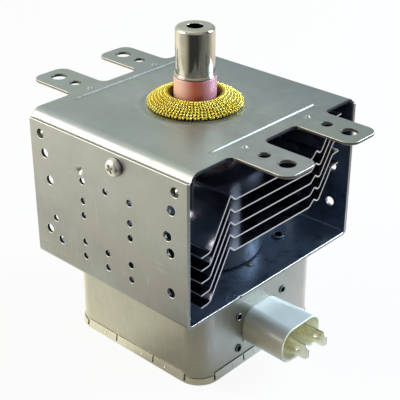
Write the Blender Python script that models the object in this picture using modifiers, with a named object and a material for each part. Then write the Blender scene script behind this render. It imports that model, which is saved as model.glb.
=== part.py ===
# Microwave oven magnetron: a finned copper anode between two ferrite ring magnets in a folded
# steel yoke, with the antenna on top and the filter box with its connector below.
# Metres, +Z up. X runs across the two perforated walls, Y to the back. The origin is on the
# floor, under the middle of the filter box, and the antenna stands on the Z axis.

import bpy
import bmesh
from math import cos, pi, radians, sin
from mathutils import Matrix, Vector

# Clearances
SEAT = 0.0003              # between two pieces that touch
HOLE_PLAY = 0.0004         # round a screw, a locating pip or a rivet
CUT_PAST = 0.0010          # how far a cutter reaches past what it cuts

# Facets round each piece
LARGE_STEPS = 24           # magnets, ceramic and cap
TUBE_STEPS = 20            # the closed tube and what is fitted to it
SMALL_STEPS = 12
TINY_STEPS = 8

# Yoke
YOKE_WIDTH = 0.0950
YOKE_DEPTH = 0.0816
YOKE_SHEET = 0.0013
YOKE_BEND = 0.0022         # outer radius of its two folds
WALL_HOLE = 0.00135        # radius of the small cooling holes
WALL_HOLE_WIDE = 0.0019    # radius of the holes along the front and back edges
HOLE_COLUMNS = 0.0124      # spacing of the small holes along Y
ROWS_OF_THREE = (0.0201, 0.0457, 0.0519)    # below the mounting plate's top face
ROWS_OF_TWO = (0.0283, 0.0344)
EDGE_HOLES = ((0.0077, 0.0154), (0.0097, 0.0261))    # in from the front or back edge, and below
FRONT_HOLES = ((0.0083, 0.0324), (0.0083, 0.0487))
BACK_HOLES = ((0.0078, 0.0478),)
SMALL_BACK_HOLES = ((0.0117, 0.0417), (0.0146, 0.0503))
FLOOR_PIP = 0.0013         # radius of the pips on its floor that locate the magnet
FLOOR_PIP_HEIGHT = 0.0006

# Mounting plate
PLATE_DEPTH = 0.0820
PLATE_SHEET = 0.0012
PLATE_BEND = 0.0017        # outer radius of its folds
PLATE_RISE = 0.0029        # its top face above the yoke's walls
FLANGE_DEPTH = 0.0130      # how far its folded sides reach down inside the walls
EAR_X = 0.0177             # from the middle to the middle of each ear
EAR_WIDTH = 0.0168
EAR_REACH = 0.0657         # from the middle to the ears' tips
EAR_ROOT = 0.0030          # fillet at an ear's root
EAR_TIP = 0.0036           # corner radius at an ear's tip
BOLT_HOLE_SHARE = 0.7045   # how far along the ear its large hole is
BOLT_HOLE = 0.0030
PILOT_HOLE_SHARE = 0.3036
PILOT_HOLE = 0.0021
EAR_PIP_INSET = 0.0013     # inside the plate's edge
EAR_PIP = 0.0018
EAR_PIP_HEIGHT = 0.0005
BEAD_LENGTH = 0.0590
BEAD_WIDTH = 0.0012
BEAD_HEIGHT = 0.00045
FRONT_BEAD_INSET = 0.0070  # from the plate's front edge
BACK_BEAD_INSET = 0.0048
SLOT_INSET = 0.0059        # locating pip of the flange, from the yoke's edge
SLOT_DROP = 0.0079         # the same, below the plate's top face
SCREW_Y = -0.0062
SCREW_HEAD = 0.0035
SCREW_HEAD_HEIGHT = 0.0026
SCREW_SHANK = 0.0019
SCREW_LENGTH = 0.0060
SCREW_POINT = 0.0008

# Tube: anode, poles and seals
ANODE_RADIUS = 0.0190
ANODE_WALL = 0.0020
ANODE_HEIGHT = 0.0271
VANE_COUNT = 10
VANE_SHEET = 0.0019
VANE_HEIGHT = 0.0095
VANE_TIP = 0.0046          # radius of the space inside the vanes
STRAP_RADIUS = 0.0072      # middle of the inner strap ring
STRAP_SIZE = 0.0009
STRAP_STEP = 0.0016        # from the inner strap ring to the outer one
POLE_SHEET = 0.0016
POLE_RADIUS = 0.0188
POLE_CONE = 0.0125         # radius where the pole piece starts to dip
POLE_MOUTH = 0.0050
POLE_DIP = 0.0072
SHELL_SHEET = 0.0005
SHELL_RADIUS = 0.0093
SHELL_RISE = 0.0023        # upper shell above the mounting plate
SHELL_DROP = 0.0050        # lower shell below the filter box's top sheet
SHELL_LIP = 0.0011         # how far the shell's end draws in
CERAMIC_RADIUS = 0.00815
CERAMIC_BORE = 0.0052
CERAMIC_HEIGHT = 0.0087
CERAMIC_EDGE = 0.0004
STEM_HEIGHT = 0.0070

# Antenna
CAP_RADIUS = 0.0075
CAP_HEIGHT = 0.0186
CAP_SHEET = 0.0005
CAP_EDGE = 0.0012          # radius of its top edge
CAP_HOLE = 0.0031
CAP_LIP = 0.0004           # how far its foot flares
CAP_LIP_HEIGHT = 0.0004
CAP_FLARE = 0.0016         # height at which the flare starts
TUBE_RADIUS = 0.0026
TUBE_HEIGHT = 0.0150
TUBE_FOOT = 0.0066
TUBE_FOOT_SHEET = 0.0005
TUBE_TURN = -48            # degrees that its pinch is turned
ANTENNA_WIRE = 0.0010
ANTENNA_VANE_X = 0.0118    # where the antenna wire leaves its vane
ANTENNA_BEND = 0.0030
ANTENNA_GAP = 0.0009       # from the wire to the hole that it takes through the pole piece

# Cathode
FILAMENT_RADIUS = 0.0020
FILAMENT_WIRE = 0.0003
FILAMENT_TURNS = 5
HAT_RADIUS = 0.0038
HAT_HEIGHT = 0.0009
HAT_COLLAR = 0.0010        # how deep its collar reaches into the filament
LEAD_RADIUS = 0.0006
SIDE_LEAD_X = 0.0030

# Magnets
MAGNET_RADIUS = 0.0272
MAGNET_BORE = 0.0105
MAGNET_HEIGHT = 0.0126
MAGNET_CHAMFER = 0.0006

# Fins
FIN_COUNT = 5
FIN_PITCH = 0.0052
FIN_SHEET = 0.0006
FIN_DEPTH = 0.0796
FIN_LIFT = 0.0017          # middle of the stack above the anode's middle
FIN_WALL_GAP = 0.0066      # from a fin's end to the yoke's wall
FIN_FOOT_SHARE = 0.25      # of the room between its flat and its end
FIN_FOOT_SLOPE = 0.0004
FIN_COLLAR = 0.0021
FIN_COLLAR_SHEET = 0.0005
FIN_FLAT_MARGIN = 0.0022   # flat metal outside the collar
FIN_BEAD_SHARE = 0.1534    # of the same room
FIN_BEAD_RISE = 0.0026
FIN_DIP_DROP = 0.0018
FIN_DROP = 0.0160          # left foot below the flat
FIN_RISE = 0.0128          # right foot above the flat
FIN_BEND_SHARE = 0.30      # its bends' radius, of a bead's run

# Gasket
GASKET_RADIUS = 0.0185
GASKET_HEIGHT = 0.0049
GASKET_RIM = 0.0030        # height at its outer edge
GASKET_RIDGE = 0.0112      # radius of its crest
GASKET_KNIT = 0.00020      # depth of the knitted wires
GASKET_WIRES = 40

# Filter box
BOX_SIZE = 0.0704
BOX_HEIGHT = 0.0360
BOX_SHEET = 0.0008
BOX_CORNER = 0.0086
BOX_EDGE = 0.0010          # along its top fold
COVER_SHEET = 0.0007
COVER_EDGE = 0.0005
COVER_RIM = 0.0038
COVER_CORNER_RIM = 0.0028
COVER_SLIT = 0.0007
COVER_SLIT_X = 0.0104      # slits each side of the middle of a wall
COVER_NOTCH = 0.0010
BOX_RIVET_X = 0.0254
BOX_RIVET_Y = 0.0225
RIVET_BORE = 0.0016
RIVET_SHEET = 0.0004
RIVET_RIM = 0.00045        # height of its rolled head
RIVET_HEAD = 0.0028

# Connector and filter
CONNECTOR_Z = 0.0154
MOUTH_WIDTH = 0.0236
MOUTH_HEIGHT = 0.0150
ROOT_FLARE = 0.0014        # how much taller and wider its root is than its mouth
CONNECTOR_REACH = 0.0203   # from the box's wall to the mouth
CONNECTOR_WALL = 0.0012
CONNECTOR_FLOOR = 0.0090   # solid part behind the cavity
MOUTH_CORNER = 0.0064
EYELET_X = 0.0132
EYELET_Z = 0.0074
EYELET_BORE = 0.0011
EYELET_HEAD = 0.0019
CARRIER_WIDTH = 0.0330
CARRIER_HEIGHT = 0.0220
CARRIER_SHEET = 0.0008
CARRIER_CORNER = 0.0020
CARRIER_GAP = 0.0012       # from a rod to the hole that it takes through the carrier
CASE_DEPTH = 0.0110
CASE_INSET = 0.0010        # inside the mouth's outline, all round
TAB_X = 0.0056
TAB_WIDTH = 0.0063
TAB_SHEET = 0.0008
TAB_REACH = 0.0079         # past the mouth
TAB_HOLE = 0.0009
TAB_HOLE_INSET = 0.0050
TAB_NOSE = 0.0013
TAB_ROOT = 0.0020          # how far the rod overlaps the blade
ROD_RADIUS = 0.0011
ROD_REACH = 0.0070         # behind the capacitor's case
CHOKE_X = 0.0140
CHOKE_RADIUS = 0.0039
CHOKE_WIRE = 0.00065
CHOKE_TURNS = 5
CHOKE_LENGTH = 0.0150
CORE_RADIUS = 0.0027
CHOKE_DROP = 0.00185       # below the terminal bars
CORE_OVERHANG = 0.0030
BAR_WIDTH = 0.0030
BAR_SHEET = 0.0008

# Levels: half the stack is counted from the anode's middle outwards
POLE_START = ANODE_HEIGHT / 2 + SEAT
SHELL_START = POLE_START + POLE_SHEET + SEAT
MAGNET_START = SHELL_START + SHELL_SHEET + SEAT
STACK_HALF = MAGNET_START + MAGNET_HEIGHT + SEAT
YOKE_Z = BOX_HEIGHT + SEAT
FLOOR_Z = YOKE_Z + YOKE_SHEET
MID_Z = FLOOR_Z + STACK_HALF
PLATE_Z = MID_Z + STACK_HALF + PLATE_SHEET
WALL_TOP = PLATE_Z - PLATE_RISE
CERAMIC_Z = PLATE_Z + SHELL_RISE + SEAT
CAP_Z = CERAMIC_Z + CERAMIC_HEIGHT + SEAT
STEM_Z = BOX_HEIGHT - BOX_SHEET - SHELL_DROP - SEAT
INNER_HALF = YOKE_WIDTH / 2 - YOKE_SHEET
FLANGE_X = INNER_HALF - SEAT
BOX_HALF = BOX_SIZE / 2
COVER_HALF = BOX_HALF + SEAT + COVER_SHEET
CARRIER_Y = BOX_SHEET + SEAT - BOX_HALF
CASE_Y = CARRIER_Y + CARRIER_SHEET + SEAT
MOUTH_Y = -BOX_HALF - CONNECTOR_REACH
BAR_TOP = STEM_Z - STEM_HEIGHT - SEAT
CHOKE_Z = BAR_TOP - BAR_SHEET - CHOKE_DROP - CHOKE_RADIUS - CHOKE_WIRE


# Scene

def clear_scene():
    for obj in list(bpy.data.objects):
        bpy.data.objects.remove(obj, do_unlink=True)


def new_collection(name):
    collection = bpy.data.collections.new(name)
    bpy.context.scene.collection.children.link(collection)
    return collection


clear_scene()
PARTS = new_collection("magnetron")
CUTTERS = new_collection("cutters")


def new_material(name, colour, roughness, metallic):
    material = bpy.data.materials.new(name)
    material.use_nodes = True
    shader = material.node_tree.nodes["Principled BSDF"]
    shader.inputs["Base Color"].default_value = (*colour, 1.0)
    shader.inputs["Roughness"].default_value = roughness
    shader.inputs["Metallic"].default_value = metallic
    return material


ZINC = new_material("zinc_plated_steel", (0.52, 0.53, 0.50), 0.42, 1.0)
TIN = new_material("tinned_steel", (0.58, 0.57, 0.52), 0.40, 1.0)
STEEL = new_material("bright_steel", (0.66, 0.66, 0.64), 0.22, 1.0)
ALUMINIUM = new_material("aluminium", (0.72, 0.73, 0.74), 0.30, 1.0)
COPPER = new_material("copper", (0.72, 0.38, 0.24), 0.35, 1.0)
BRASS = new_material("brass_wire", (0.68, 0.56, 0.14), 0.40, 1.0)
FERRITE = new_material("ferrite", (0.05, 0.05, 0.055), 0.60, 0.0)
PINK_CERAMIC = new_material("pink_alumina", (0.82, 0.42, 0.34), 0.45, 0.0)
WHITE_CERAMIC = new_material("white_alumina", (0.85, 0.84, 0.80), 0.45, 0.0)
TUNGSTEN = new_material("tungsten", (0.30, 0.30, 0.31), 0.45, 1.0)
CREAM = new_material("cream_plastic", (0.74, 0.74, 0.64), 0.38, 0.0)
BROWN = new_material("brown_plastic", (0.10, 0.06, 0.04), 0.45, 0.0)


# Modelling helpers

def add_object(name, mesh, collection=PARTS):
    obj = bpy.data.objects.new(name, mesh)
    collection.objects.link(obj)
    if collection is CUTTERS:
        obj.hide_render = True
        obj.display_type = 'WIRE'
    return obj


def mesh_object(name, bm, collection=PARTS):
    mesh = bpy.data.meshes.new(name)
    bm.to_mesh(mesh)
    bm.free()
    return add_object(name, mesh, collection)


def finish(obj, material, smooth=True):
    obj.data.materials.clear()
    obj.data.materials.append(material)
    if smooth:
        obj.data.shade_smooth()
        obj.data.set_sharp_from_angle(angle=radians(32))
    return obj


def baked(obj):
    depsgraph = bpy.context.evaluated_depsgraph_get()
    mesh = bpy.data.meshes.new_from_object(obj.evaluated_get(depsgraph), depsgraph=depsgraph)
    mesh.name = obj.name
    bm = bmesh.new()
    bm.from_mesh(mesh)
    bmesh.ops.remove_doubles(bm, verts=bm.verts, dist=0.00001)
    bm.to_mesh(mesh)
    bm.free()
    return mesh


def arc_corner(before, corner, after, radius, steps):
    into = (before - corner).normalized()
    out = (after - corner).normalized()
    half = into.angle(out) / 2
    reach = radius * cos(half) / sin(half)
    middle = corner + (into + out).normalized() * (radius / sin(half))
    start = corner + into * reach - middle
    end = corner + out * reach - middle
    turn = start.angle(end)
    points = []
    for step in range(steps + 1):
        share = step / steps
        points.append(middle + (start * sin((1 - share) * turn) + end * sin(share * turn)) / sin(turn))
    return points


def rounded_path(corners, closed=True, steps=3):
    # Each corner is (x, y, radius). A radius of 0 keeps it sharp.
    count = len(corners)
    points = []
    for index, (x, y, radius) in enumerate(corners):
        corner = Vector((x, y))
        at_end = not closed and index in (0, count - 1)
        if radius == 0 or at_end:
            points.append(corner)
            continue
        before = Vector(corners[index - 1][:2])
        after = Vector(corners[(index + 1) % count][:2])
        points.extend(arc_corner(before, corner, after, radius, steps))
    return points


def rounded_rectangle(width, height, radius, steps=3):
    x, y = width / 2, height / 2
    return rounded_path([(-x, -y, radius), (x, -y, radius), (x, y, radius), (-x, y, radius)], steps=steps)


def ring_path(radius, count, centre=(0, 0)):
    angles = [2 * pi * (index + 0.5) / count for index in range(count)]
    return [Vector((centre[0] + radius * cos(a), centre[1] + radius * sin(a))) for a in angles]


def flat_piece(name, outlines, low, high, collection=PARTS):
    # A flat blank between two levels. The outlines after the first are its holes.
    curve = bpy.data.curves.new(name, 'CURVE')
    curve.dimensions = '2D'
    curve.fill_mode = 'BOTH'
    curve.extrude = (high - low) / 2
    for outline in outlines:
        spline = curve.splines.new('POLY')
        spline.points.add(len(outline) - 1)
        spline.use_cyclic_u = True
        for point, corner in zip(spline.points, outline):
            point.co = (corner[0], corner[1], 0, 1)
    blank = add_object(name + "_curve", curve)
    mesh = baked(blank)
    bpy.data.objects.remove(blank)
    bpy.data.curves.remove(curve)
    mesh.transform(Matrix.Translation((0, 0, (low + high) / 2)))
    mesh.name = name
    return add_object(name, mesh, collection)


def stand_up(obj):
    # Turns a blank drawn in X and Y so that its outline faces the front: its Y becomes Z and
    # its levels become distances towards the back.
    obj.data.transform(Matrix(((1, 0, 0, 0), (0, 0, 1, 0), (0, 1, 0, 0), (0, 0, 0, 1))))
    obj.data.flip_normals()
    return obj


def turned(name, profile, steps, collection=PARTS):
    # The profile is a closed loop, or runs from axis to axis. It goes down its outer side.
    bm = bmesh.new()
    verts = [bm.verts.new((radius, 0, z)) for radius, z in profile]
    for first, second in zip(verts, verts[1:]):
        bm.edges.new((first, second))
    if profile[0][0] > 0:
        bm.edges.new((verts[-1], verts[0]))
    obj = mesh_object(name, bm, collection)
    screw = obj.modifiers.new("Turn", 'SCREW')
    screw.axis = 'Z'
    screw.angle = 2 * pi
    screw.steps = steps
    screw.render_steps = steps
    screw.use_merge_vertices = True
    screw.merge_threshold = 0.00001
    screw.use_smooth_shade = True
    return obj


def folded_strip(name, path, depth, sheet):
    # A sheet folded along Y. Seen from the front, its outside is on the right of the path.
    bm = bmesh.new()
    near = [bm.verts.new((x, -depth / 2, z)) for x, z in path]
    far = [bm.verts.new((x, depth / 2, z)) for x, z in path]
    for index in range(len(path) - 1):
        bm.faces.new((near[index], far[index], far[index + 1], near[index + 1]))
    obj = mesh_object(name, bm)
    solid = obj.modifiers.new("Sheet", 'SOLIDIFY')
    solid.thickness = sheet
    solid.offset = -1
    solid.use_even_offset = True
    return obj


def add_cylinder(bm, radius, start, end, segments=SMALL_STEPS, far_radius=None):
    start, end = Vector(start), Vector(end)
    axis = end - start
    turn = Vector((0, 0, 1)).rotation_difference(axis).to_matrix().to_4x4()
    place = Matrix.Translation((start + end) / 2) @ turn @ Matrix.Rotation(pi / segments, 4, 'Z')
    bmesh.ops.create_cone(bm, cap_ends=True, segments=segments, radius1=radius,
                          radius2=radius if far_radius is None else far_radius,
                          depth=axis.length, matrix=place)


def add_box(bm, low, high, turn=None):
    low, high = Vector(low), Vector(high)
    size = Matrix.Diagonal((*(high - low), 1))
    place = Matrix.Translation((low + high) / 2) @ (turn or Matrix.Identity(4))
    bmesh.ops.create_cube(bm, size=1, matrix=place @ size)


def cylinders(name, places, collection=CUTTERS, segments=SMALL_STEPS):
    # Each place is (radius, start, end).
    bm = bmesh.new()
    for radius, start, end in places:
        add_cylinder(bm, radius, start, end, segments)
    return mesh_object(name, bm, collection)


def combine(target, tool, operation='DIFFERENCE'):
    boolean = target.modifiers.new(tool.name, 'BOOLEAN')
    boolean.operation = operation
    boolean.solver = 'EXACT'
    boolean.object = tool
    return target


def joined(target, tool):
    # A piece that becomes part of the target stays behind as a guide.
    return combine(target, tool, 'UNION')


def wire(name, points, radius, roundness=0):
    curve = bpy.data.curves.new(name, 'CURVE')
    curve.dimensions = '3D'
    curve.bevel_depth = radius
    curve.bevel_resolution = roundness
    curve.use_fill_caps = True
    spline = curve.splines.new('POLY')
    spline.points.add(len(points) - 1)
    for point, place in zip(spline.points, points):
        point.co = (*place, 1)
    path = add_object(name + "_curve", curve)
    mesh = baked(path)
    bpy.data.objects.remove(path)
    bpy.data.curves.remove(curve)
    mesh.name = name
    return add_object(name, mesh)


# Yoke and mounting plate

def wall_holes():
    # Places on a side wall as (radius, y, depth below the mounting plate's top face).
    edge = YOKE_DEPTH / 2
    places = [(WALL_HOLE, column * HOLE_COLUMNS, drop) for drop in ROWS_OF_THREE for column in (-1, 0, 1)]
    places += [(WALL_HOLE, column * HOLE_COLUMNS, drop) for drop in ROWS_OF_TWO for column in (-1, 1)]
    for side in (-1, 1):
        for inset, drop in ((SLOT_INSET, SLOT_DROP),) + EDGE_HOLES:
            places.append((WALL_HOLE_WIDE, side * (edge - inset), drop))
    places += [(WALL_HOLE_WIDE, inset - edge, drop) for inset, drop in FRONT_HOLES]
    places += [(WALL_HOLE_WIDE, edge - inset, drop) for inset, drop in BACK_HOLES]
    places += [(WALL_HOLE, edge - inset, drop) for inset, drop in SMALL_BACK_HOLES]
    return places


def rivet_spots():
    return [(side_x * BOX_RIVET_X, side_y * BOX_RIVET_Y) for side_x in (-1, 1) for side_y in (-1, 1)]


def make_yoke():
    half = YOKE_WIDTH / 2
    path = rounded_path([(-half, WALL_TOP, 0), (-half, YOKE_Z, YOKE_BEND), (half, YOKE_Z, YOKE_BEND),
                         (half, WALL_TOP, 0)], closed=False)
    yoke = folded_strip("yoke", path, YOKE_DEPTH, YOKE_SHEET)
    pips = bmesh.new()
    for side in (-1, 1):
        pip_y = side * (MAGNET_RADIUS + SEAT + FLOOR_PIP)
        add_cylinder(pips, FLOOR_PIP, (0, pip_y, FLOOR_Z - YOKE_SHEET / 2),
                     (0, pip_y, FLOOR_Z + FLOOR_PIP_HEIGHT), TINY_STEPS, far_radius=FLOOR_PIP * 0.7)
    joined(yoke, mesh_object("yoke_pips", pips, CUTTERS))
    across = [(radius, (-YOKE_WIDTH, y, PLATE_Z - drop), (YOKE_WIDTH, y, PLATE_Z - drop))
              for radius, y, drop in wall_holes()]
    screw_hole = SCREW_SHANK + HOLE_PLAY
    across.append((screw_hole, (-YOKE_WIDTH, SCREW_Y, PLATE_Z - SLOT_DROP),
                   (YOKE_WIDTH, SCREW_Y, PLATE_Z - SLOT_DROP)))
    combine(yoke, cylinders("yoke_wall_holes", across, segments=TINY_STEPS))
    rivet_hole = RIVET_BORE + RIVET_SHEET + HOLE_PLAY
    low, high = YOKE_Z - CUT_PAST, FLOOR_Z + CUT_PAST
    down = [(rivet_hole, (x, y, low), (x, y, high)) for x, y in rivet_spots()]
    combine(yoke, cylinders("yoke_floor_holes", down, segments=TINY_STEPS))
    shell_hole = [(SHELL_RADIUS + HOLE_PLAY, (0, 0, low), (0, 0, high))]
    combine(yoke, cylinders("yoke_shell_hole", shell_hole, segments=LARGE_STEPS))
    finish(yoke, ZINC)


def plate_outline():
    edge_x = YOKE_WIDTH / 2
    edge_y = PLATE_DEPTH / 2
    inner = EAR_X - EAR_WIDTH / 2
    outer = EAR_X + EAR_WIDTH / 2
    front = [(-edge_x, -edge_y, 0)]
    for near, far in ((-outer, -inner), (inner, outer)):
        front.append((near, -edge_y, EAR_ROOT))
        front.append((near, -EAR_REACH, EAR_TIP))
        front.append((far, -EAR_REACH, EAR_TIP))
        front.append((far, -edge_y, EAR_ROOT))
    front.append((edge_x, -edge_y, 0))
    back = [(-x, -y, radius) for x, y, radius in front]
    return rounded_path(front + back)


def make_mounting_plate():
    low = PLATE_Z - FLANGE_DEPTH
    path = rounded_path([(FLANGE_X, low, 0), (FLANGE_X, PLATE_Z, PLATE_BEND),
                         (-FLANGE_X, PLATE_Z, PLATE_BEND), (-FLANGE_X, low, 0)], closed=False)
    plate = folded_strip("mounting_plate", path, 2 * (EAR_REACH + CUT_PAST), PLATE_SHEET)
    outline = flat_piece("plate_outline", [plate_outline()], low - CUT_PAST, PLATE_Z + CUT_PAST, CUTTERS)
    combine(plate, outline, 'INTERSECT')

    relief = bmesh.new()
    bead_radius = ((BEAD_WIDTH / 2) ** 2 + BEAD_HEIGHT ** 2) / (2 * BEAD_HEIGHT)
    bead_z = PLATE_Z + BEAD_HEIGHT - bead_radius
    for y in (FRONT_BEAD_INSET - PLATE_DEPTH / 2, PLATE_DEPTH / 2 - BACK_BEAD_INSET):
        add_cylinder(relief, bead_radius, (-BEAD_LENGTH / 2, y, bead_z), (BEAD_LENGTH / 2, y, bead_z))
    for side_x in (-1, 1):
        for side_y in (-1, 1):
            spot = Vector((side_x * EAR_X, side_y * (PLATE_DEPTH / 2 - EAR_PIP_INSET), PLATE_Z))
            add_cylinder(relief, EAR_PIP, spot - Vector((0, 0, PLATE_SHEET / 2)),
                         spot + Vector((0, 0, EAR_PIP_HEIGHT)), TINY_STEPS, far_radius=EAR_PIP / 2)
            pip_y = side_y * (YOKE_DEPTH / 2 - SLOT_INSET)
            add_cylinder(relief, WALL_HOLE_WIDE - HOLE_PLAY,
                         (side_x * (FLANGE_X - PLATE_SHEET / 2), pip_y, PLATE_Z - SLOT_DROP),
                         (side_x * (INNER_HALF + YOKE_SHEET / 2), pip_y, PLATE_Z - SLOT_DROP), TINY_STEPS)
    joined(plate, mesh_object("plate_relief", relief, CUTTERS))

    holes = []
    bottom, top = PLATE_Z - PLATE_SHEET - CUT_PAST, PLATE_Z + CUT_PAST
    ear = EAR_REACH - PLATE_DEPTH / 2
    for x in (-EAR_X, EAR_X):
        for side_y in (-1, 1):
            for radius, share in ((BOLT_HOLE, BOLT_HOLE_SHARE), (PILOT_HOLE, PILOT_HOLE_SHARE)):
                y = side_y * (PLATE_DEPTH / 2 + ear * share)
                holes.append((radius, (x, y, bottom), (x, y, top)))
    combine(plate, cylinders("plate_ear_holes", holes))
    screw_z = PLATE_Z - SLOT_DROP
    screw_hole = [(SCREW_SHANK + SEAT, (-YOKE_WIDTH, SCREW_Y, screw_z), (YOKE_WIDTH, SCREW_Y, screw_z))]
    combine(plate, cylinders("plate_screw_holes", screw_hole))
    shell_hole = [(SHELL_RADIUS + HOLE_PLAY, (0, 0, bottom), (0, 0, top))]
    combine(plate, cylinders("plate_shell_hole", shell_hole, segments=LARGE_STEPS))
    finish(plate, ZINC)


def make_screw(name, side):
    # Pan head outside the wall, shank through the wall and the plate's flange.
    head_z = SCREW_HEAD_HEIGHT
    profile = [(0, head_z), (SCREW_HEAD * 0.62, head_z * 0.96), (SCREW_HEAD * 0.90, head_z * 0.74),
               (SCREW_HEAD, head_z * 0.40), (SCREW_HEAD, 0), (SCREW_SHANK, 0),
               (SCREW_SHANK, SCREW_POINT - SCREW_LENGTH), (SCREW_SHANK * 0.6, -SCREW_LENGTH),
               (0, -SCREW_LENGTH)]
    screw = turned(name, profile, SMALL_STEPS)
    recess = bmesh.new()
    arm, blade = SCREW_HEAD * 0.60, SCREW_HEAD * 0.13
    add_box(recess, (-arm, -blade, head_z * 0.5), (arm, blade, head_z * 1.5))
    combine(screw, mesh_object(name + "_recess_a", recess, CUTTERS))
    recess = bmesh.new()
    add_box(recess, (-blade, -arm, head_z * 0.49), (blade, arm, head_z * 1.51))
    combine(screw, mesh_object(name + "_recess_b", recess, CUTTERS))
    place = Matrix.Translation((side * (YOKE_WIDTH / 2 + SEAT), SCREW_Y, PLATE_Z - SLOT_DROP))
    place = place @ Matrix.Rotation(side * pi / 2, 4, 'Y')
    for obj in (screw, bpy.data.objects[name + "_recess_a"], bpy.data.objects[name + "_recess_b"]):
        obj.matrix_world = place
    finish(screw, STEEL)


# Magnets, anode and seals

def make_magnet(name, side):
    low, high = MAGNET_START, MAGNET_START + MAGNET_HEIGHT
    flat = MAGNET_RADIUS - MAGNET_CHAMFER
    profile = [(flat, high), (MAGNET_RADIUS, high - MAGNET_CHAMFER), (MAGNET_RADIUS, low + MAGNET_CHAMFER),
               (flat, low), (MAGNET_BORE, low), (MAGNET_BORE, high)]
    magnet = turned(name, profile, LARGE_STEPS)
    place_on_tube(magnet, side)
    finish(magnet, FERRITE)


def place_on_tube(obj, side):
    obj.matrix_world = Matrix.Translation((0, 0, MID_Z)) @ Matrix.Rotation(0 if side > 0 else pi, 4, 'X')


def make_anode():
    half = ANODE_HEIGHT / 2
    inner = ANODE_RADIUS - ANODE_WALL
    profile = [(ANODE_RADIUS, half), (ANODE_RADIUS, -half), (inner, -half), (inner, half)]
    anode = turned("anode", profile, TUBE_STEPS)
    place_on_tube(anode, 1)
    vanes = bmesh.new()
    for index in range(VANE_COUNT):
        turn = Matrix.Rotation(2 * pi * index / VANE_COUNT, 4, 'Z')
        middle = (VANE_TIP + inner + ANODE_WALL / 2) / 2
        length = inner + ANODE_WALL / 2 - VANE_TIP
        size = Matrix.Diagonal((length, VANE_SHEET, VANE_HEIGHT, 1))
        bmesh.ops.create_cube(vanes, size=1, matrix=turn @ Matrix.Translation((middle, 0, 0)) @ size)
    tool = mesh_object("anode_vanes", vanes, CUTTERS)
    place_on_tube(tool, 1)
    joined(anode, tool)
    reach = STRAP_SIZE / 2 + SEAT
    for side in (-1, 1):
        outer = STRAP_RADIUS + STRAP_STEP + reach
        shallow = VANE_HEIGHT / 2 - STRAP_SIZE - SEAT
        inside = STRAP_RADIUS - reach
        above = VANE_HEIGHT / 2 + CUT_PAST
        groove = turned("anode_groove_" + ("top" if side > 0 else "bottom"),
                        [(outer, above), (outer, shallow), (inside, shallow), (inside, above)],
                        TUBE_STEPS, CUTTERS)
        place_on_tube(groove, side)
        combine(anode, groove)
    finish(anode, COPPER)


def make_straps():
    for side, level in ((1, "top"), (-1, "bottom")):
        for radius, ring in ((STRAP_RADIUS, "inner"), (STRAP_RADIUS + STRAP_STEP, "outer")):
            high = VANE_HEIGHT / 2
            low = high - STRAP_SIZE
            outer, inner = radius + STRAP_SIZE / 2, radius - STRAP_SIZE / 2
            profile = [(outer, high), (outer, low), (inner, low), (inner, high)]
            strap = turned("strap_" + ring + "_" + level, profile, SMALL_STEPS)
            place_on_tube(strap, side)
            finish(strap, COPPER)


def make_pole_piece(name, side):
    # A dished iron disc whose nose reaches towards the vanes.
    low, high = POLE_START, POLE_START + POLE_SHEET
    nose = low - POLE_DIP
    profile = [(POLE_CONE, high), (POLE_RADIUS, high), (POLE_RADIUS, low), (POLE_CONE, low),
               (POLE_MOUTH + POLE_SHEET, nose), (POLE_MOUTH, nose), (POLE_MOUTH, nose + POLE_SHEET)]
    pole = turned(name, profile, TUBE_STEPS)
    place_on_tube(pole, side)
    if side > 0:
        top = MID_Z + 2 * POLE_START
        hole = (ANTENNA_WIRE + ANTENNA_GAP, (ANTENNA_VANE_X, 0, MID_Z), (ANTENNA_VANE_X, 0, top))
        combine(pole, cylinders("pole_wire_hole", [hole]))
    finish(pole, STEEL)


def make_shell(name, side, reach):
    # A drawn cup, open at both ends, whose flange lies on the pole piece.
    low, high = SHELL_START, SHELL_START + SHELL_SHEET
    inner = SHELL_RADIUS - SHELL_SHEET
    profile = [(SHELL_RADIUS - SHELL_LIP, reach), (SHELL_RADIUS, reach - SHELL_LIP), (SHELL_RADIUS, high),
               (POLE_RADIUS, high), (POLE_RADIUS, low), (inner, low),
               (inner, reach - SHELL_LIP - SHELL_SHEET), (inner - SHELL_LIP, reach - SHELL_SHEET / 2)]
    shell = turned(name, profile, TUBE_STEPS)
    place_on_tube(shell, side)
    finish(shell, STEEL)


# Antenna

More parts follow.
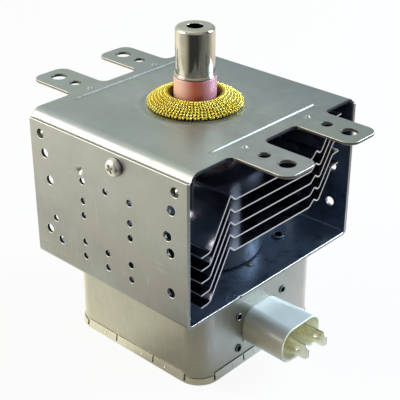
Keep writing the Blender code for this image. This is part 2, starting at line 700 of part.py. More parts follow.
def make_antenna():
    flat = CERAMIC_RADIUS - CERAMIC_EDGE
    profile = [(flat, CERAMIC_HEIGHT), (CERAMIC_RADIUS, CERAMIC_HEIGHT - CERAMIC_EDGE),
               (CERAMIC_RADIUS, CERAMIC_EDGE), (flat, 0), (CERAMIC_BORE, 0), (CERAMIC_BORE, CERAMIC_HEIGHT)]
    ceramic = turned("antenna_ceramic", profile, LARGE_STEPS)
    ceramic.location.z = CERAMIC_Z
    finish(ceramic, PINK_CERAMIC)

    arc = [(CAP_RADIUS - CAP_EDGE + CAP_EDGE * sin(turn), CAP_HEIGHT - CAP_EDGE + CAP_EDGE * cos(turn))
           for turn in (0, pi / 4, pi / 2)]
    inside = CAP_RADIUS - CAP_SHEET
    profile = [(CAP_HOLE, CAP_HEIGHT)] + arc
    under = CAP_HEIGHT - CAP_SHEET
    profile += [(CAP_RADIUS, CAP_FLARE), (CAP_RADIUS + CAP_LIP, CAP_LIP_HEIGHT), (CAP_RADIUS + CAP_LIP, 0),
                (inside, 0), (inside, CAP_HEIGHT - CAP_EDGE), (inside - CAP_EDGE / 2, under),
                (CAP_HOLE, under)]
    cap = turned("antenna_cap", profile, LARGE_STEPS)
    cap.location.z = CAP_Z
    finish(cap, STEEL)

    make_exhaust_tube()
    bottom = MID_Z + VANE_HEIGHT / 2 + SEAT
    knee = MID_Z + SHELL_START + SHELL_SHEET
    neck = PLATE_Z - PLATE_SHEET
    corners = [(ANTENNA_VANE_X, bottom), (ANTENNA_VANE_X, MID_Z + POLE_START), (SHELL_RADIUS / 2, knee),
               (0, neck), (0, CAP_Z - SEAT)]
    bent = rounded_path([(x, z, ANTENNA_BEND) for x, z in corners], closed=False)
    route = [(x, 0, z) for x, z in bent]
    finish(wire("antenna_wire", route, ANTENNA_WIRE, 1), COPPER)


def make_exhaust_tube():
    # A copper tube on a round foot, pinched flat at its top where it was sealed off.
    bm = bmesh.new()
    bmesh.ops.create_circle(bm, cap_ends=True, segments=SMALL_STEPS, radius=TUBE_FOOT)
    levels = ((TUBE_FOOT_SHEET, TUBE_FOOT, 1.0), (TUBE_FOOT_SHEET * 1.2, TUBE_RADIUS, 1.0),
              (TUBE_HEIGHT * 0.62, TUBE_RADIUS, 1.0), (TUBE_HEIGHT * 0.80, TUBE_RADIUS * 1.1, 0.45),
              (TUBE_HEIGHT, TUBE_RADIUS * 1.15, 0.12))
    bmesh.ops.reverse_faces(bm, faces=bm.faces)
    loop = list(bm.edges)
    for level, radius, flatness in levels:
        geometry = bmesh.ops.extrude_edge_only(bm, edges=loop)["geom"]
        loop = [item for item in geometry if isinstance(item, bmesh.types.BMEdge)]
        for vert in [item for item in geometry if isinstance(item, bmesh.types.BMVert)]:
            flat = vert.co.xy.normalized() * radius
            vert.co = (flat.x, flat.y * flatness, level)
    bmesh.ops.contextual_create(bm, geom=loop)
    bmesh.ops.recalc_face_normals(bm, faces=bm.faces)
    tube = mesh_object("exhaust_tube", bm)
    tube.location.z = CAP_Z
    tube.rotation_euler.z = radians(TUBE_TURN)
    finish(tube, COPPER)


# Cathode

def helix(radius, length, turns):
    per_turn = 8
    count = turns * per_turn
    points = []
    for step in range(count + 1):
        angle = 2 * pi * step / per_turn
        points.append(Vector((radius * cos(angle), radius * sin(angle), length * step / count)))
    return points


def make_cathode():
    coil_length = VANE_HEIGHT - 2 * FILAMENT_WIRE - 2 * SEAT
    start = MID_Z - coil_length / 2
    points = [point + Vector((0, 0, start)) for point in helix(FILAMENT_RADIUS, coil_length, FILAMENT_TURNS)]
    finish(wire("filament", points, FILAMENT_WIRE), TUNGSTEN)
    hat = VANE_HEIGHT / 2
    for side, level in ((1, "top"), (-1, "bottom")):
        bore = LEAD_RADIUS + SEAT
        collar = FILAMENT_RADIUS - FILAMENT_WIRE - SEAT
        profile = [(HAT_RADIUS, hat + HAT_HEIGHT), (HAT_RADIUS, hat), (collar, hat),
                   (collar, hat - HAT_COLLAR), (bore, hat - HAT_COLLAR), (bore, hat + HAT_HEIGHT)]
        if side > 0:
            profile = [(0, hat + HAT_HEIGHT)] + profile[:4] + [(0, hat - HAT_COLLAR)]
        piece = turned("end_hat_" + level, profile, SMALL_STEPS)
        place_on_tube(piece, side)
        finish(piece, TUNGSTEN)
    end = BAR_TOP + SEAT
    for name, x, top in (("lead_centre", 0, MID_Z + hat - HAT_COLLAR - SEAT),
                         ("lead_side", SIDE_LEAD_X, MID_Z - hat - HAT_HEIGHT - SEAT)):
        lead = cylinders(name, [(LEAD_RADIUS, (x, 0, end), (x, 0, top))], PARTS, TINY_STEPS)
        finish(lead, TUNGSTEN)
    bores = [ring_path(LEAD_RADIUS + SEAT, TINY_STEPS, (x, 0)) for x in (0, SIDE_LEAD_X)]
    stem = flat_piece("stem_ceramic", [ring_path(CERAMIC_RADIUS, TUBE_STEPS)] + bores, end, STEM_Z)
    finish(stem, WHITE_CERAMIC)


# Fins and gasket

def make_fins():
    flat = ANODE_RADIUS + SEAT + FIN_COLLAR_SHEET + FIN_FLAT_MARGIN
    end = INNER_HALF - FIN_WALL_GAP
    room = end - flat
    knee = end - FIN_FOOT_SHARE * room
    run = FIN_BEAD_SHARE * room
    bend = FIN_BEND_SHARE * run
    crest = flat + run
    corners = [(-end, -FIN_DROP - FIN_FOOT_SLOPE, 0), (-knee, -FIN_DROP, bend),
               (-crest, FIN_BEAD_RISE, bend), (-flat, 0, bend), (flat, 0, bend),
               (crest, FIN_BEAD_RISE, bend), (crest + run, FIN_BEAD_RISE - FIN_DIP_DROP, bend),
               (knee, FIN_RISE, bend), (end, FIN_RISE + FIN_FOOT_SLOPE, 0)]
    path = rounded_path(corners[::-1], closed=False, steps=1)
    pattern = folded_strip("fin_pattern", path, FIN_DEPTH, FIN_SHEET)
    bore = ANODE_RADIUS + SEAT
    boss = cylinders("fin_boss", [(bore + FIN_COLLAR_SHEET, (0, 0, -FIN_COLLAR), (0, 0, -FIN_SHEET / 3))],
                     segments=TUBE_STEPS)
    joined(pattern, boss)
    through = [(bore, (0, 0, -FIN_COLLAR - CUT_PAST), (0, 0, CUT_PAST))]
    combine(pattern, cylinders("fin_bore", through, segments=TUBE_STEPS))
    mesh = baked(pattern)
    bpy.data.objects.remove(pattern)
    for index in range(FIN_COUNT):
        fin = add_object("fin_" + str(index + 1), mesh)
        step = (FIN_COUNT - 1) / 2 - index
        fin.location.z = MID_Z + FIN_LIFT + FIN_SHEET / 2 + step * FIN_PITCH
        finish(fin, ALUMINIUM)


def make_gasket():
    # Its crest stands near the middle, and its upper side is knitted wire.
    inner = SHELL_RADIUS + SEAT
    crown = []
    rows = 4
    for row in range(rows + 1):
        share = row / rows
        radius = GASKET_RIDGE + (GASKET_RADIUS - 0.0006 - GASKET_RIDGE) * share
        crown.append((radius, GASKET_HEIGHT - (GASKET_HEIGHT - GASKET_RIM) * share ** 1.4))
    profile = crown + [(GASKET_RADIUS, GASKET_RIM * 0.60), (GASKET_RADIUS - 0.0004, SEAT), (inner, SEAT),
                       (inner + 0.0002, GASKET_HEIGHT * 0.5), (inner + 0.0009, GASKET_HEIGHT * 0.86)]
    pattern = turned("gasket_pattern", profile, GASKET_WIRES, CUTTERS)
    mesh = baked(pattern)
    bpy.data.objects.remove(pattern)
    gasket = add_object("gasket", mesh)
    spread = 2 * pi / GASKET_WIRES
    knitted = [(radius, z) for radius, z in profile if z > SEAT]
    for vert in mesh.vertices:
        radius = vert.co.xy.length
        if vert.co.z < SEAT * 1.5:
            continue
        wire_index = round(Vector((1, 0)).angle_signed(vert.co.xy) / spread)
        here = Vector((radius, vert.co.z))
        row = min(range(len(knitted)), key=lambda index: (Vector(knitted[index]) - here).length)
        lift = GASKET_KNIT if (wire_index + row) % 2 else -GASKET_KNIT
        if radius < GASKET_RIDGE - 0.0001:
            vert.co.xy *= (radius + max(lift, 0)) / radius
        else:
            vert.co.z += lift
            vert.co.xy *= (radius + min(lift, 0)) / radius
    gasket.location.z = PLATE_Z
    finish(gasket, BRASS, smooth=False)


# Filter box

def make_filter_box():
    outline = rounded_rectangle(BOX_SIZE, BOX_SIZE, BOX_CORNER)
    bottom = COVER_SHEET + SEAT
    bm = bmesh.new()
    top = bm.faces.new([bm.verts.new((point.x, point.y, BOX_HEIGHT)) for point in outline])
    edges = list(bm.edges)
    walls = bmesh.ops.extrude_edge_only(bm, edges=edges)["geom"]
    for vert in [item for item in walls if isinstance(item, bmesh.types.BMVert)]:
        vert.co.z = bottom
    bmesh.ops.bevel(bm, geom=list(top.edges), offset=BOX_EDGE, segments=1, affect='EDGES')
    bmesh.ops.recalc_face_normals(bm, faces=bm.faces)
    bm.normal_update()
    highest = max(bm.faces, key=lambda face: face.calc_center_median().z)
    if highest.normal.z < 0:
        bmesh.ops.reverse_faces(bm, faces=bm.faces)
    can = mesh_object("filter_box", bm)
    solid = can.modifiers.new("Sheet", 'SOLIDIFY')
    solid.thickness = BOX_SHEET
    solid.offset = -1
    solid.use_even_offset = True

    rivet_hole = RIVET_BORE + RIVET_SHEET + HOLE_PLAY
    low, high = BOX_HEIGHT - BOX_SHEET - CUT_PAST, BOX_HEIGHT + CUT_PAST
    down = [(rivet_hole, (x, y, low), (x, y, high)) for x, y in rivet_spots()]
    combine(can, cylinders("box_rivet_holes", down, segments=TINY_STEPS))
    shell_hole = [(SHELL_RADIUS + HOLE_PLAY, (0, 0, low), (0, 0, high))]
    combine(can, cylinders("box_shell_hole", shell_hole, segments=LARGE_STEPS))
    root = rounded_rectangle(MOUTH_WIDTH + ROOT_FLARE + 2 * SEAT, MOUTH_HEIGHT + 2 * ROOT_FLARE + 2 * SEAT,
                             MOUTH_CORNER + SEAT)
    outside, inside = -BOX_HALF - CUT_PAST, BOX_SHEET + CUT_PAST - BOX_HALF
    window = flat_piece("box_window", [root], outside, inside, CUTTERS)
    stand_up(window).location.z = CONNECTOR_Z
    combine(can, window)
    eyelet_hole = EYELET_BORE + RIVET_SHEET + SEAT
    front = [(eyelet_hole, (x, outside, z), (x, inside, z)) for x, z in eyelet_spots()]
    combine(can, cylinders("box_eyelet_holes", front, segments=TINY_STEPS))
    finish(can, TIN)


def make_filter_cover():
    # A shallow pan whose rim is slit into tabs that grip the outside of the box.
    outer = rounded_rectangle(2 * COVER_HALF, 2 * COVER_HALF, BOX_CORNER + SEAT + COVER_SHEET)
    bm = bmesh.new()
    floor = bm.faces.new([bm.verts.new((point.x, point.y, 0)) for point in outer])
    walls = bmesh.ops.extrude_edge_only(bm, edges=list(bm.edges))["geom"]
    for vert in [item for item in walls if isinstance(item, bmesh.types.BMVert)]:
        vert.co.z = COVER_RIM
    bmesh.ops.bevel(bm, geom=list(floor.edges), offset=COVER_EDGE, segments=1, affect='EDGES')
    bmesh.ops.recalc_face_normals(bm, faces=bm.faces)
    bm.normal_update()
    lowest = min(bm.faces, key=lambda face: face.calc_center_median().z)
    if lowest.normal.z > 0:
        bmesh.ops.reverse_faces(bm, faces=bm.faces)
    cover = mesh_object("filter_cover", bm)
    solid = cover.modifiers.new("Sheet", 'SOLIDIFY')
    solid.thickness = COVER_SHEET
    solid.offset = -1
    solid.use_even_offset = True

    slits = bmesh.new()
    straight = COVER_HALF - BOX_CORNER
    low, high = COVER_SHEET * 1.4, COVER_RIM + CUT_PAST
    outside, inside = -COVER_HALF - CUT_PAST, COVER_SHEET + CUT_PAST - COVER_HALF
    for quarter in range(4):
        turn = Matrix.Rotation(quarter * pi / 2, 4, 'Z')
        before = len(slits.verts)
        for x, width in ((-straight, COVER_NOTCH), (-COVER_SLIT_X, COVER_SLIT), (COVER_SLIT_X, COVER_SLIT),
                         (straight, COVER_NOTCH)):
            add_box(slits, (x - width / 2, outside, low), (x + width / 2, inside, high))
        slits.verts.ensure_lookup_table()
        bmesh.ops.transform(slits, matrix=turn, verts=slits.verts[before:])
    combine(cover, mesh_object("cover_slits", slits, CUTTERS))
    corners = bmesh.new()
    reach = straight + COVER_NOTCH / 4
    for side_x in (-1, 1):
        for side_y in (-1, 1):
            far = COVER_HALF + CUT_PAST
            low_x, high_x = sorted((side_x * reach, side_x * far))
            low_y, high_y = sorted((side_y * reach, side_y * far))
            add_box(corners, (low_x, low_y, COVER_CORNER_RIM), (high_x, high_y, high))
    combine(cover, mesh_object("cover_corner_trim", corners, CUTTERS))
    finish(cover, TIN)


def make_rivet(name, place, grip, bore, head, axis):
    # A hollow rivet through two sheets: local Z points out of the visible side.
    shank = bore + RIVET_SHEET
    profile = [(bore, RIVET_RIM), (head * 0.85, RIVET_RIM), (head, 0), (shank, 0), (shank, -grip),
               (head * 0.9, -grip), (bore, -grip - RIVET_RIM)]
    rivet = turned(name, profile, TINY_STEPS)
    rivet.matrix_world = Matrix.Translation(place) @ axis
    finish(rivet, TIN)


def make_box_rivets():
    grip = YOKE_SHEET + SEAT + BOX_SHEET + 2 * SEAT
    for index, (x, y) in enumerate(rivet_spots()):
        make_rivet("box_rivet_" + str(index + 1), (x, y, FLOOR_Z + SEAT), grip, RIVET_BORE, RIVET_HEAD,
                   Matrix.Identity(4))


# Connector, capacitor and chokes

def eyelet_spots():
    return [(side_x * EYELET_X, CONNECTOR_Z + side_z * EYELET_Z) for side_x in (-1, 1) for side_z in (-1, 1)]


def make_eyelets():
    grip = BOX_SHEET + SEAT + CARRIER_SHEET + 2 * SEAT
    facing = Matrix.Rotation(pi / 2, 4, 'X')
    for index, (x, z) in enumerate(eyelet_spots()):
        place = (x, -BOX_HALF - SEAT, z)
        make_rivet("eyelet_" + str(index + 1), place, grip, EYELET_BORE, EYELET_HEAD, facing)


def make_connector():
    # The housing tapers a little from its root in the box's wall to its open mouth.
    length = CARRIER_Y - SEAT - MOUTH_Y
    mouth = rounded_rectangle(MOUTH_WIDTH, MOUTH_HEIGHT, MOUTH_CORNER)
    root = rounded_rectangle(MOUTH_WIDTH + ROOT_FLARE, MOUTH_HEIGHT + 2 * ROOT_FLARE, MOUTH_CORNER)
    housing = flat_piece("connector_housing", [mouth], 0, length)
    for vert in housing.data.vertices:
        if vert.co.z > length / 2:
            nearest = min(range(len(mouth)), key=lambda i: (mouth[i] - vert.co.xy).length)
            vert.co.xy = root[nearest]
    stand_up(housing)
    housing.location = (0, MOUTH_Y, CONNECTOR_Z)
    cavity = rounded_rectangle(MOUTH_WIDTH - 2 * CONNECTOR_WALL, MOUTH_HEIGHT - 2 * CONNECTOR_WALL,
                               MOUTH_CORNER - CONNECTOR_WALL)
    pocket = flat_piece("connector_cavity", [cavity], -CUT_PAST, length - CONNECTOR_FLOOR, CUTTERS)
    stand_up(pocket).location = housing.location
    combine(housing, pocket)
    start = MOUTH_Y + length - CONNECTOR_FLOOR - CUT_PAST
    bores = [(ROD_RADIUS + SEAT, (x, start, CONNECTOR_Z), (x, CARRIER_Y + CUT_PAST, CONNECTOR_Z))
             for x in (-TAB_X, TAB_X)]
    combine(housing, cylinders("connector_bores", bores))
    finish(housing, CREAM)


def make_capacitor():
    eyelet_hole = EYELET_BORE + RIVET_SHEET + SEAT
    holes = [ring_path(eyelet_hole, TINY_STEPS, (x, z - CONNECTOR_Z)) for x, z in eyelet_spots()]
    rods = [ring_path(ROD_RADIUS + CARRIER_GAP, SMALL_STEPS, (x, 0)) for x in (-TAB_X, TAB_X)]
    blank = rounded_rectangle(CARRIER_WIDTH, CARRIER_HEIGHT, CARRIER_CORNER, 2)
    carrier = flat_piece("capacitor_carrier", [blank] + holes + rods, CARRIER_Y, CARRIER_Y + CARRIER_SHEET)
    stand_up(carrier).location.z = CONNECTOR_Z
    finish(carrier, ZINC)
    rods = [ring_path(ROD_RADIUS + SEAT, SMALL_STEPS, (x, 0)) for x in (-TAB_X, TAB_X)]
    outline = rounded_rectangle(MOUTH_WIDTH - 2 * CASE_INSET, MOUTH_HEIGHT - 2 * CASE_INSET,
                                MOUTH_CORNER - CASE_INSET)
    case = flat_piece("capacitor_case", [outline] + rods, CASE_Y, CASE_Y + CASE_DEPTH)
    stand_up(case).location.z = CONNECTOR_Z
    finish(case, BROWN)


def make_tab(name, x):
    # A 6.3 mm blade whose tail is a round rod through the capacitor.
    tip = MOUTH_Y - TAB_REACH
    tail = CARRIER_Y - SEAT - CONNECTOR_FLOOR - SEAT
    half = TAB_WIDTH / 2
    corners = [(tip, TAB_NOSE - half, 0), (tip + TAB_NOSE, -half, 0), (tail, -half, 0), (tail, half, 0),
               (tip + TAB_NOSE, half, 0), (tip, half - TAB_NOSE, 0)]
    hole = ring_path(TAB_HOLE, TINY_STEPS, (tip + TAB_HOLE_INSET, 0))
    blade = flat_piece(name, [rounded_path(corners), hole], -TAB_SHEET / 2, TAB_SHEET / 2)
    # The outline's X becomes Y and its Y becomes Z, so that the blade stands upright.
    blade.data.transform(Matrix(((0, 0, 1, 0), (1, 0, 0, 0), (0, 1, 0, 0), (0, 0, 0, 1))))
    blade.location = (x, 0, CONNECTOR_Z)
    rod_end = CASE_Y + CASE_DEPTH + ROD_REACH
    rod_start = tail - TAB_ROOT
    rod = [(ROD_RADIUS, (x, rod_start, CONNECTOR_Z), (x, rod_end, CONNECTOR_Z))]
    joined(blade, cylinders(name + "_rod", rod))
    finish(blade, BRASS)


def make_choke(name, side):
    # A copper coil on a ferrite core, from the capacitor's rod to the cathode's terminal bar.
    rod_end = CASE_Y + CASE_DEPTH + ROD_REACH
    near = rod_end + SEAT + CHOKE_WIRE
    start = near + 2 * CHOKE_WIRE
    coil = []
    for point in helix(CHOKE_RADIUS, CHOKE_LENGTH, CHOKE_TURNS):
        coil.append(Vector((side * (CHOKE_X - point.x), start + point.z, CHOKE_Z + point.y)))
    last = coil[-1]
    rise_y = last.y + 2 * CHOKE_WIRE
    lead_in = [Vector((side * TAB_X, near, CONNECTOR_Z)),
               Vector((side * (CHOKE_X - CHOKE_RADIUS), near, CHOKE_Z))]
    lead_out = [Vector((last.x, rise_y, z)) for z in (last.z + 2 * CHOKE_WIRE, BAR_TOP - BAR_SHEET - SEAT)]
    finish(wire(name, lead_in + coil + lead_out, CHOKE_WIRE), COPPER)
    core_start = Vector((side * CHOKE_X, start - CORE_OVERHANG, CHOKE_Z))
    core_end = core_start + Vector((0, CHOKE_LENGTH + 2 * CORE_OVERHANG, 0))
    core = cylinders(name + "_core", [(CORE_RADIUS, core_start, core_end)], PARTS)
    finish(core, FERRITE)
    return lead_out[-1]


def make_terminal_bar(name, start_x, end):
    # A flat bar under the stem, from a cathode lead to the end of a choke's wire.
    start = Vector((start_x, 0))
    stop = Vector((end.x, end.y))
    along = (stop - start).normalized()
    across = Vector((-along.y, along.x)) * BAR_WIDTH / 2
    start -= along * LEAD_RADIUS
    stop += along * BAR_WIDTH / 2
    outline = [start - across, stop - across, stop + across, start + across]
    finish(flat_piece(name, [outline], BAR_TOP - BAR_SHEET, BAR_TOP), COPPER)


def make_filter():
    left = make_choke("choke_left", -1)
    right = make_choke("choke_right", 1)
    make_terminal_bar("terminal_bar_left", 0, left)
    make_terminal_bar("terminal_bar_right", SIDE_LEAD_X, right)


make_yoke()
make_mounting_plate()
make_screw("screw_left", -1)
make_screw("screw_right", 1)
make_magnet("magnet_top", 1)
make_magnet("magnet_bottom", -1)
make_anode()
make_straps()
make_pole_piece("pole_piece_top", 1)
make_pole_piece("pole_piece_bottom", -1)
make_shell("seal_shell_top", 1, STACK_HALF + PLATE_SHEET + SHELL_RISE)
make_shell("seal_shell_bottom", -1, STACK_HALF + YOKE_SHEET + SEAT + BOX_SHEET + SHELL_DROP)
make_antenna()
make_cathode()
make_fins()
make_gasket()
make_filter_box()
make_filter_cover()
make_box_rivets()
make_eyelets()
make_connector()
make_capacitor()
make_tab("tab_left", -TAB_X)
make_tab("tab_right", TAB_X)
make_filter()
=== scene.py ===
import bpy
import bmesh
import random
from math import atan2, cos, hypot, pi, radians, sin, tan
from mathutils import Matrix, Vector


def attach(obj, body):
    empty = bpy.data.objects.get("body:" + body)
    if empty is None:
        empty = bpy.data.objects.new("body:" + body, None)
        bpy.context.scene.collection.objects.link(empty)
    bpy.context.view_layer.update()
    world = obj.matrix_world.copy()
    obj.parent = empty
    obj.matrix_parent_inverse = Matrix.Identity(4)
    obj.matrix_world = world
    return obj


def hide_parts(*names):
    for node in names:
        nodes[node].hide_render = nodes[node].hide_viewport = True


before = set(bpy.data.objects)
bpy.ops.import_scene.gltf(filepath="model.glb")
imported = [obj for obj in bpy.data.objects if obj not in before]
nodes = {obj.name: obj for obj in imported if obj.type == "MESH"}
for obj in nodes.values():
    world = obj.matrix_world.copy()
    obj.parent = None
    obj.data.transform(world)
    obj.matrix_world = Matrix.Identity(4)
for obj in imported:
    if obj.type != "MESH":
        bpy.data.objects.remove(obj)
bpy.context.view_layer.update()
mm = 0.001          # pieces are drawn in millimetres and made in metres
print("frame loaded:", len(nodes), "pieces")

# Camera, found from the edges and holes in the photograph

camera = {
    "place": (-0.26082, -0.24345, 0.24689),
    "yaw": 47.27,        # degrees from straight back towards the right
    "pitch": 28.18,      # degrees down
    "roll": 0.08,
    "lens": 91.42,
}
yaw, pitch, roll = (radians(camera[key]) for key in ("yaw", "pitch", "roll"))
ahead = (sin(yaw), cos(yaw), 0.0)       # the camera's view along the floor
leftward = (-cos(yaw), sin(yaw), 0.0)


def makeCamera():
    data = bpy.data.cameras.new("camera")
    data.lens = camera["lens"]
    data.sensor_width = 36.0
    data.clip_start = 0.01
    data.clip_end = 20.0
    obj = addObject("camera", data)
    gaze = Vector((sin(yaw) * cos(pitch), cos(yaw) * cos(pitch), -sin(pitch)))
    level = Vector((cos(yaw), -sin(yaw), 0.0))
    upright = level.cross(gaze)
    right = level * cos(roll) + upright * sin(roll)
    up = upright * cos(roll) - level * sin(roll)
    turn = Matrix((right, up, -gaze)).transposed().to_4x4()
    obj.matrix_world = Matrix.Translation(camera["place"]) @ turn
    bpy.context.scene.camera = obj


# Shader wiring

class Signal:       # one output socket: a sum or product of signals adds its Math nodes
    def __init__(self, wiring, socket):
        self.wiring = wiring
        self.socket = socket

    def calc(self, operation, first, second):
        return self.wiring.node("ShaderNodeMath", {"operation": operation}, {0: first, 1: second})

    def __add__(self, other):
        return self.calc("ADD", self, other)

    def __sub__(self, other):
        return self.calc("SUBTRACT", self, other)

    def __rsub__(self, other):
        return self.calc("SUBTRACT", other, self)

    def __mul__(self, other):
        return self.calc("MULTIPLY", self, other)

    def __or__(self, other):        # the larger of the two
        return self.calc("MAXIMUM", self, other)

    def __abs__(self):
        return self.wiring.node("ShaderNodeMath", {"operation": "ABSOLUTE"}, {0: self})

    __radd__ = __add__
    __rmul__ = __mul__
    __ror__ = __or__


class Wiring:       # a node tree being wired up
    def __init__(self, tree):
        self.tree = tree

    def node(self, kind, settings=None, sockets=None, out=0):
        made = self.tree.nodes.new(kind)
        for key, value in (settings or {}).items():
            setattr(made, key, value)
        self.fill(made, sockets or {})
        return Signal(self, made.outputs[out]) if made.outputs else made

    def fill(self, made, sockets):
        for key, value in sockets.items():
            if isinstance(value, Signal):
                self.tree.links.new(value.socket, made.inputs[key])
            elif made.inputs[key].type == "RGBA":
                made.inputs[key].default_value = (*value, 1.0)
            else:
                made.inputs[key].default_value = value

    def vector(self, operation, first, second=None, out=0):
        sockets = {0: first} if second is None else {0: first, 1: second}
        return self.node("ShaderNodeVectorMath", {"operation": operation}, sockets, out)

    def part(self, vector, axis):       # a vector's part along one axis
        return self.node("ShaderNodeSeparateXYZ", None, {0: vector}, axis)

    def step(self, signal, low, high, start=0.0, end=1.0):
        # from start to end as the signal goes from low to high
        sockets = {"Value": signal, "From Min": low, "From Max": high, "To Min": start, "To Max": end}
        return self.node("ShaderNodeMapRange", {"interpolation_type": "SMOOTHSTEP"}, sockets)

    def ray(self, kind):        # whether the light path is of this kind, such as Camera
        return self.node("ShaderNodeLightPath", out="Is " + kind + " Ray")


class Finish(Wiring):       # a material
    def __init__(self, name):
        self.material = bpy.data.materials.new(name)
        self.material.use_nodes = True
        super().__init__(self.material.node_tree)
        self.shader = self.tree.nodes["Principled BSDF"]
        self.place = self.node("ShaderNodeTexCoord", out="Object")

    def stretched(self, along):
        return self.vector("MULTIPLY", self.place, along)

    def along(self, axis):      # the place along an axis
        return self.part(self.place, axis)

    def facingAxis(self, axis):     # how far the surface faces along an axis, from -1 to 1
        return self.part(self.node("ShaderNodeTexCoord", out="Normal"), axis)

    def inward(self, outer, inner):     # from 0 to 1 between two distances from the upright axis
        reach = self.vector("LENGTH", self.stretched((1.0, 1.0, 0.0)), out="Value")
        return self.step(reach, outer * mm, inner * mm)

    def noise(self, size, detail=2.0, along=None):      # size in millimetres
        where = self.stretched(along) if along else self.place
        sockets = {"Vector": where, "Scale": 1 / (size * mm), "Detail": detail}
        return self.node("ShaderNodeTexNoise", None, sockets)

    def cells(self, size):      # the distance to the middle of a cell of this size in millimetres
        sockets = {"Vector": self.place, "Scale": 1 / (size * mm)}
        return self.node("ShaderNodeTexVoronoi", None, sockets, "Distance")

    def tint(self, mask, first, second):
        return self.node("ShaderNodeMix", {"data_type": "RGBA"}, {0: mask, 6: first, 7: second}, 2)

    def relief(self, height, depth, strength=1.0, under=None):      # depth in millimetres
        sockets = {"Height": height, "Distance": depth * mm, "Strength": strength}
        if under:
            sockets["Normal"] = under
        return self.node("ShaderNodeBump", None, sockets)

    def finish(self, **sockets):
        self.fill(self.shader, {key.replace("_", " "): value for key, value in sockets.items()})
        return self.material

# Levels in millimetres, as in the source
plateZ, wallTop, yokeZ, floorZ = 97.7, 94.8, 36.3, 37.6
capZ, ceramicZ, boxHalf, connectorZ = 109.3, 100.3, 35.2, 15.4


# Finishes

def rolledSheet(name, look):
    # plated sheet: soft clouds, a stain of another tone, grain along the rolling and a few scratches
    make = Finish(name)
    cloud = make.noise(look["cloudSize"], 3.0)
    patch = make.noise(look["cloudSize"] * 0.22)
    grain = make.noise(0.5, 2.0, look["rolling"])
    speck = make.noise(0.16, 1.0)
    scratch = (make.step(make.noise(1.1, 1.0, look["scratches"]), 0.70, 0.76)
               | make.step(make.noise(1.4, 1.0, look["crossed"]), 0.72, 0.78))
    mottle = cloud * 0.40 + patch * 0.24 + grain * 0.24 + speck * 0.12
    base = make.tint(make.step(mottle, 0.36, 0.64), look["dark"], look["light"])
    stain = make.step(make.noise(look["cloudSize"] * 1.7, 2.0, look["stainLay"]), 0.42, 0.66)
    base = make.tint(stain * look["stained"], base, look["stain"])
    base = make.tint(scratch * look["wear"], base, look["bare"])
    if "paintedLight" in look:       # painted light: brighter towards one height, where light or a highlight falls
        start, end, share, tone = look["paintedLight"]
        base = make.tint(make.step(make.along(2), start * mm, end * mm, 0.0, share), base, tone)
    rough = make.step(cloud + patch, 0.7, 1.3, look["rough"] - 0.04, look["rough"] + 0.05)
    rough = rough + (speck - 0.5) * 0.06 - scratch * 0.04
    metal = 1.0
    if "drawn" in look:     # painted highlights: matt, less metallic patches that run in from the front edge at a slant, so the lamps light them as highlights
        place, reach, matt, tone = look["drawn"]
        frontEdge, faded, matted, slant, share = -38 * mm, -30 * mm, -35 * mm, 1.18, 0.85
        across = make.along(0) - place * mm - (make.along(1) - frontEdge) * slant
        drawn = make.step(abs(across), reach * mm, 0.0) * make.step(make.along(1), faded, matted, 0.0, share)
        base = make.tint(drawn, base, tone)
        rough = rough + drawn * (matt - look["rough"])
        metal = make.step(drawn, 0.0, 1.0, 1.0, 0.35)
    if "fade" in look:      # painted shade: darker towards one side, where less light falls
        start, end, share, tone = look["fade"]
        base = make.tint(make.step(make.along(0), start * mm, end * mm, 0.0, share), base, tone)
    sway = make.relief(make.noise(look["swaySize"], 1.0), look["sway"])
    if "ring" in look:      # the shallow seat pressed round the gasket
        inner, outer, slope, drop = look["ring"]
        seat = make.inward(outer + slope, outer) - make.inward(inner + slope, inner)
        sway = make.relief(seat, drop, 1.0, sway)
    normal = make.relief(grain * 0.6 + speck * 0.5 - scratch * look["wear"], look["grainDepth"], 1.0, sway)
    return make.finish(Base_Color=base, Metallic=metal, Roughness=rough, Normal=normal)


def cutEdge(name, dark, light, rough):
    # a sheared edge with the fine lines of the cutting tool
    make = Finish(name)
    lines = make.noise(0.22)
    base = make.tint(make.step(lines, 0.3, 0.7), dark, light)
    return make.finish(Base_Color=base, Metallic=1.0, Roughness=rough, Normal=make.relief(lines, 0.02))


def without(look, *options):
    return {key: value for key, value in look.items() if key not in options}


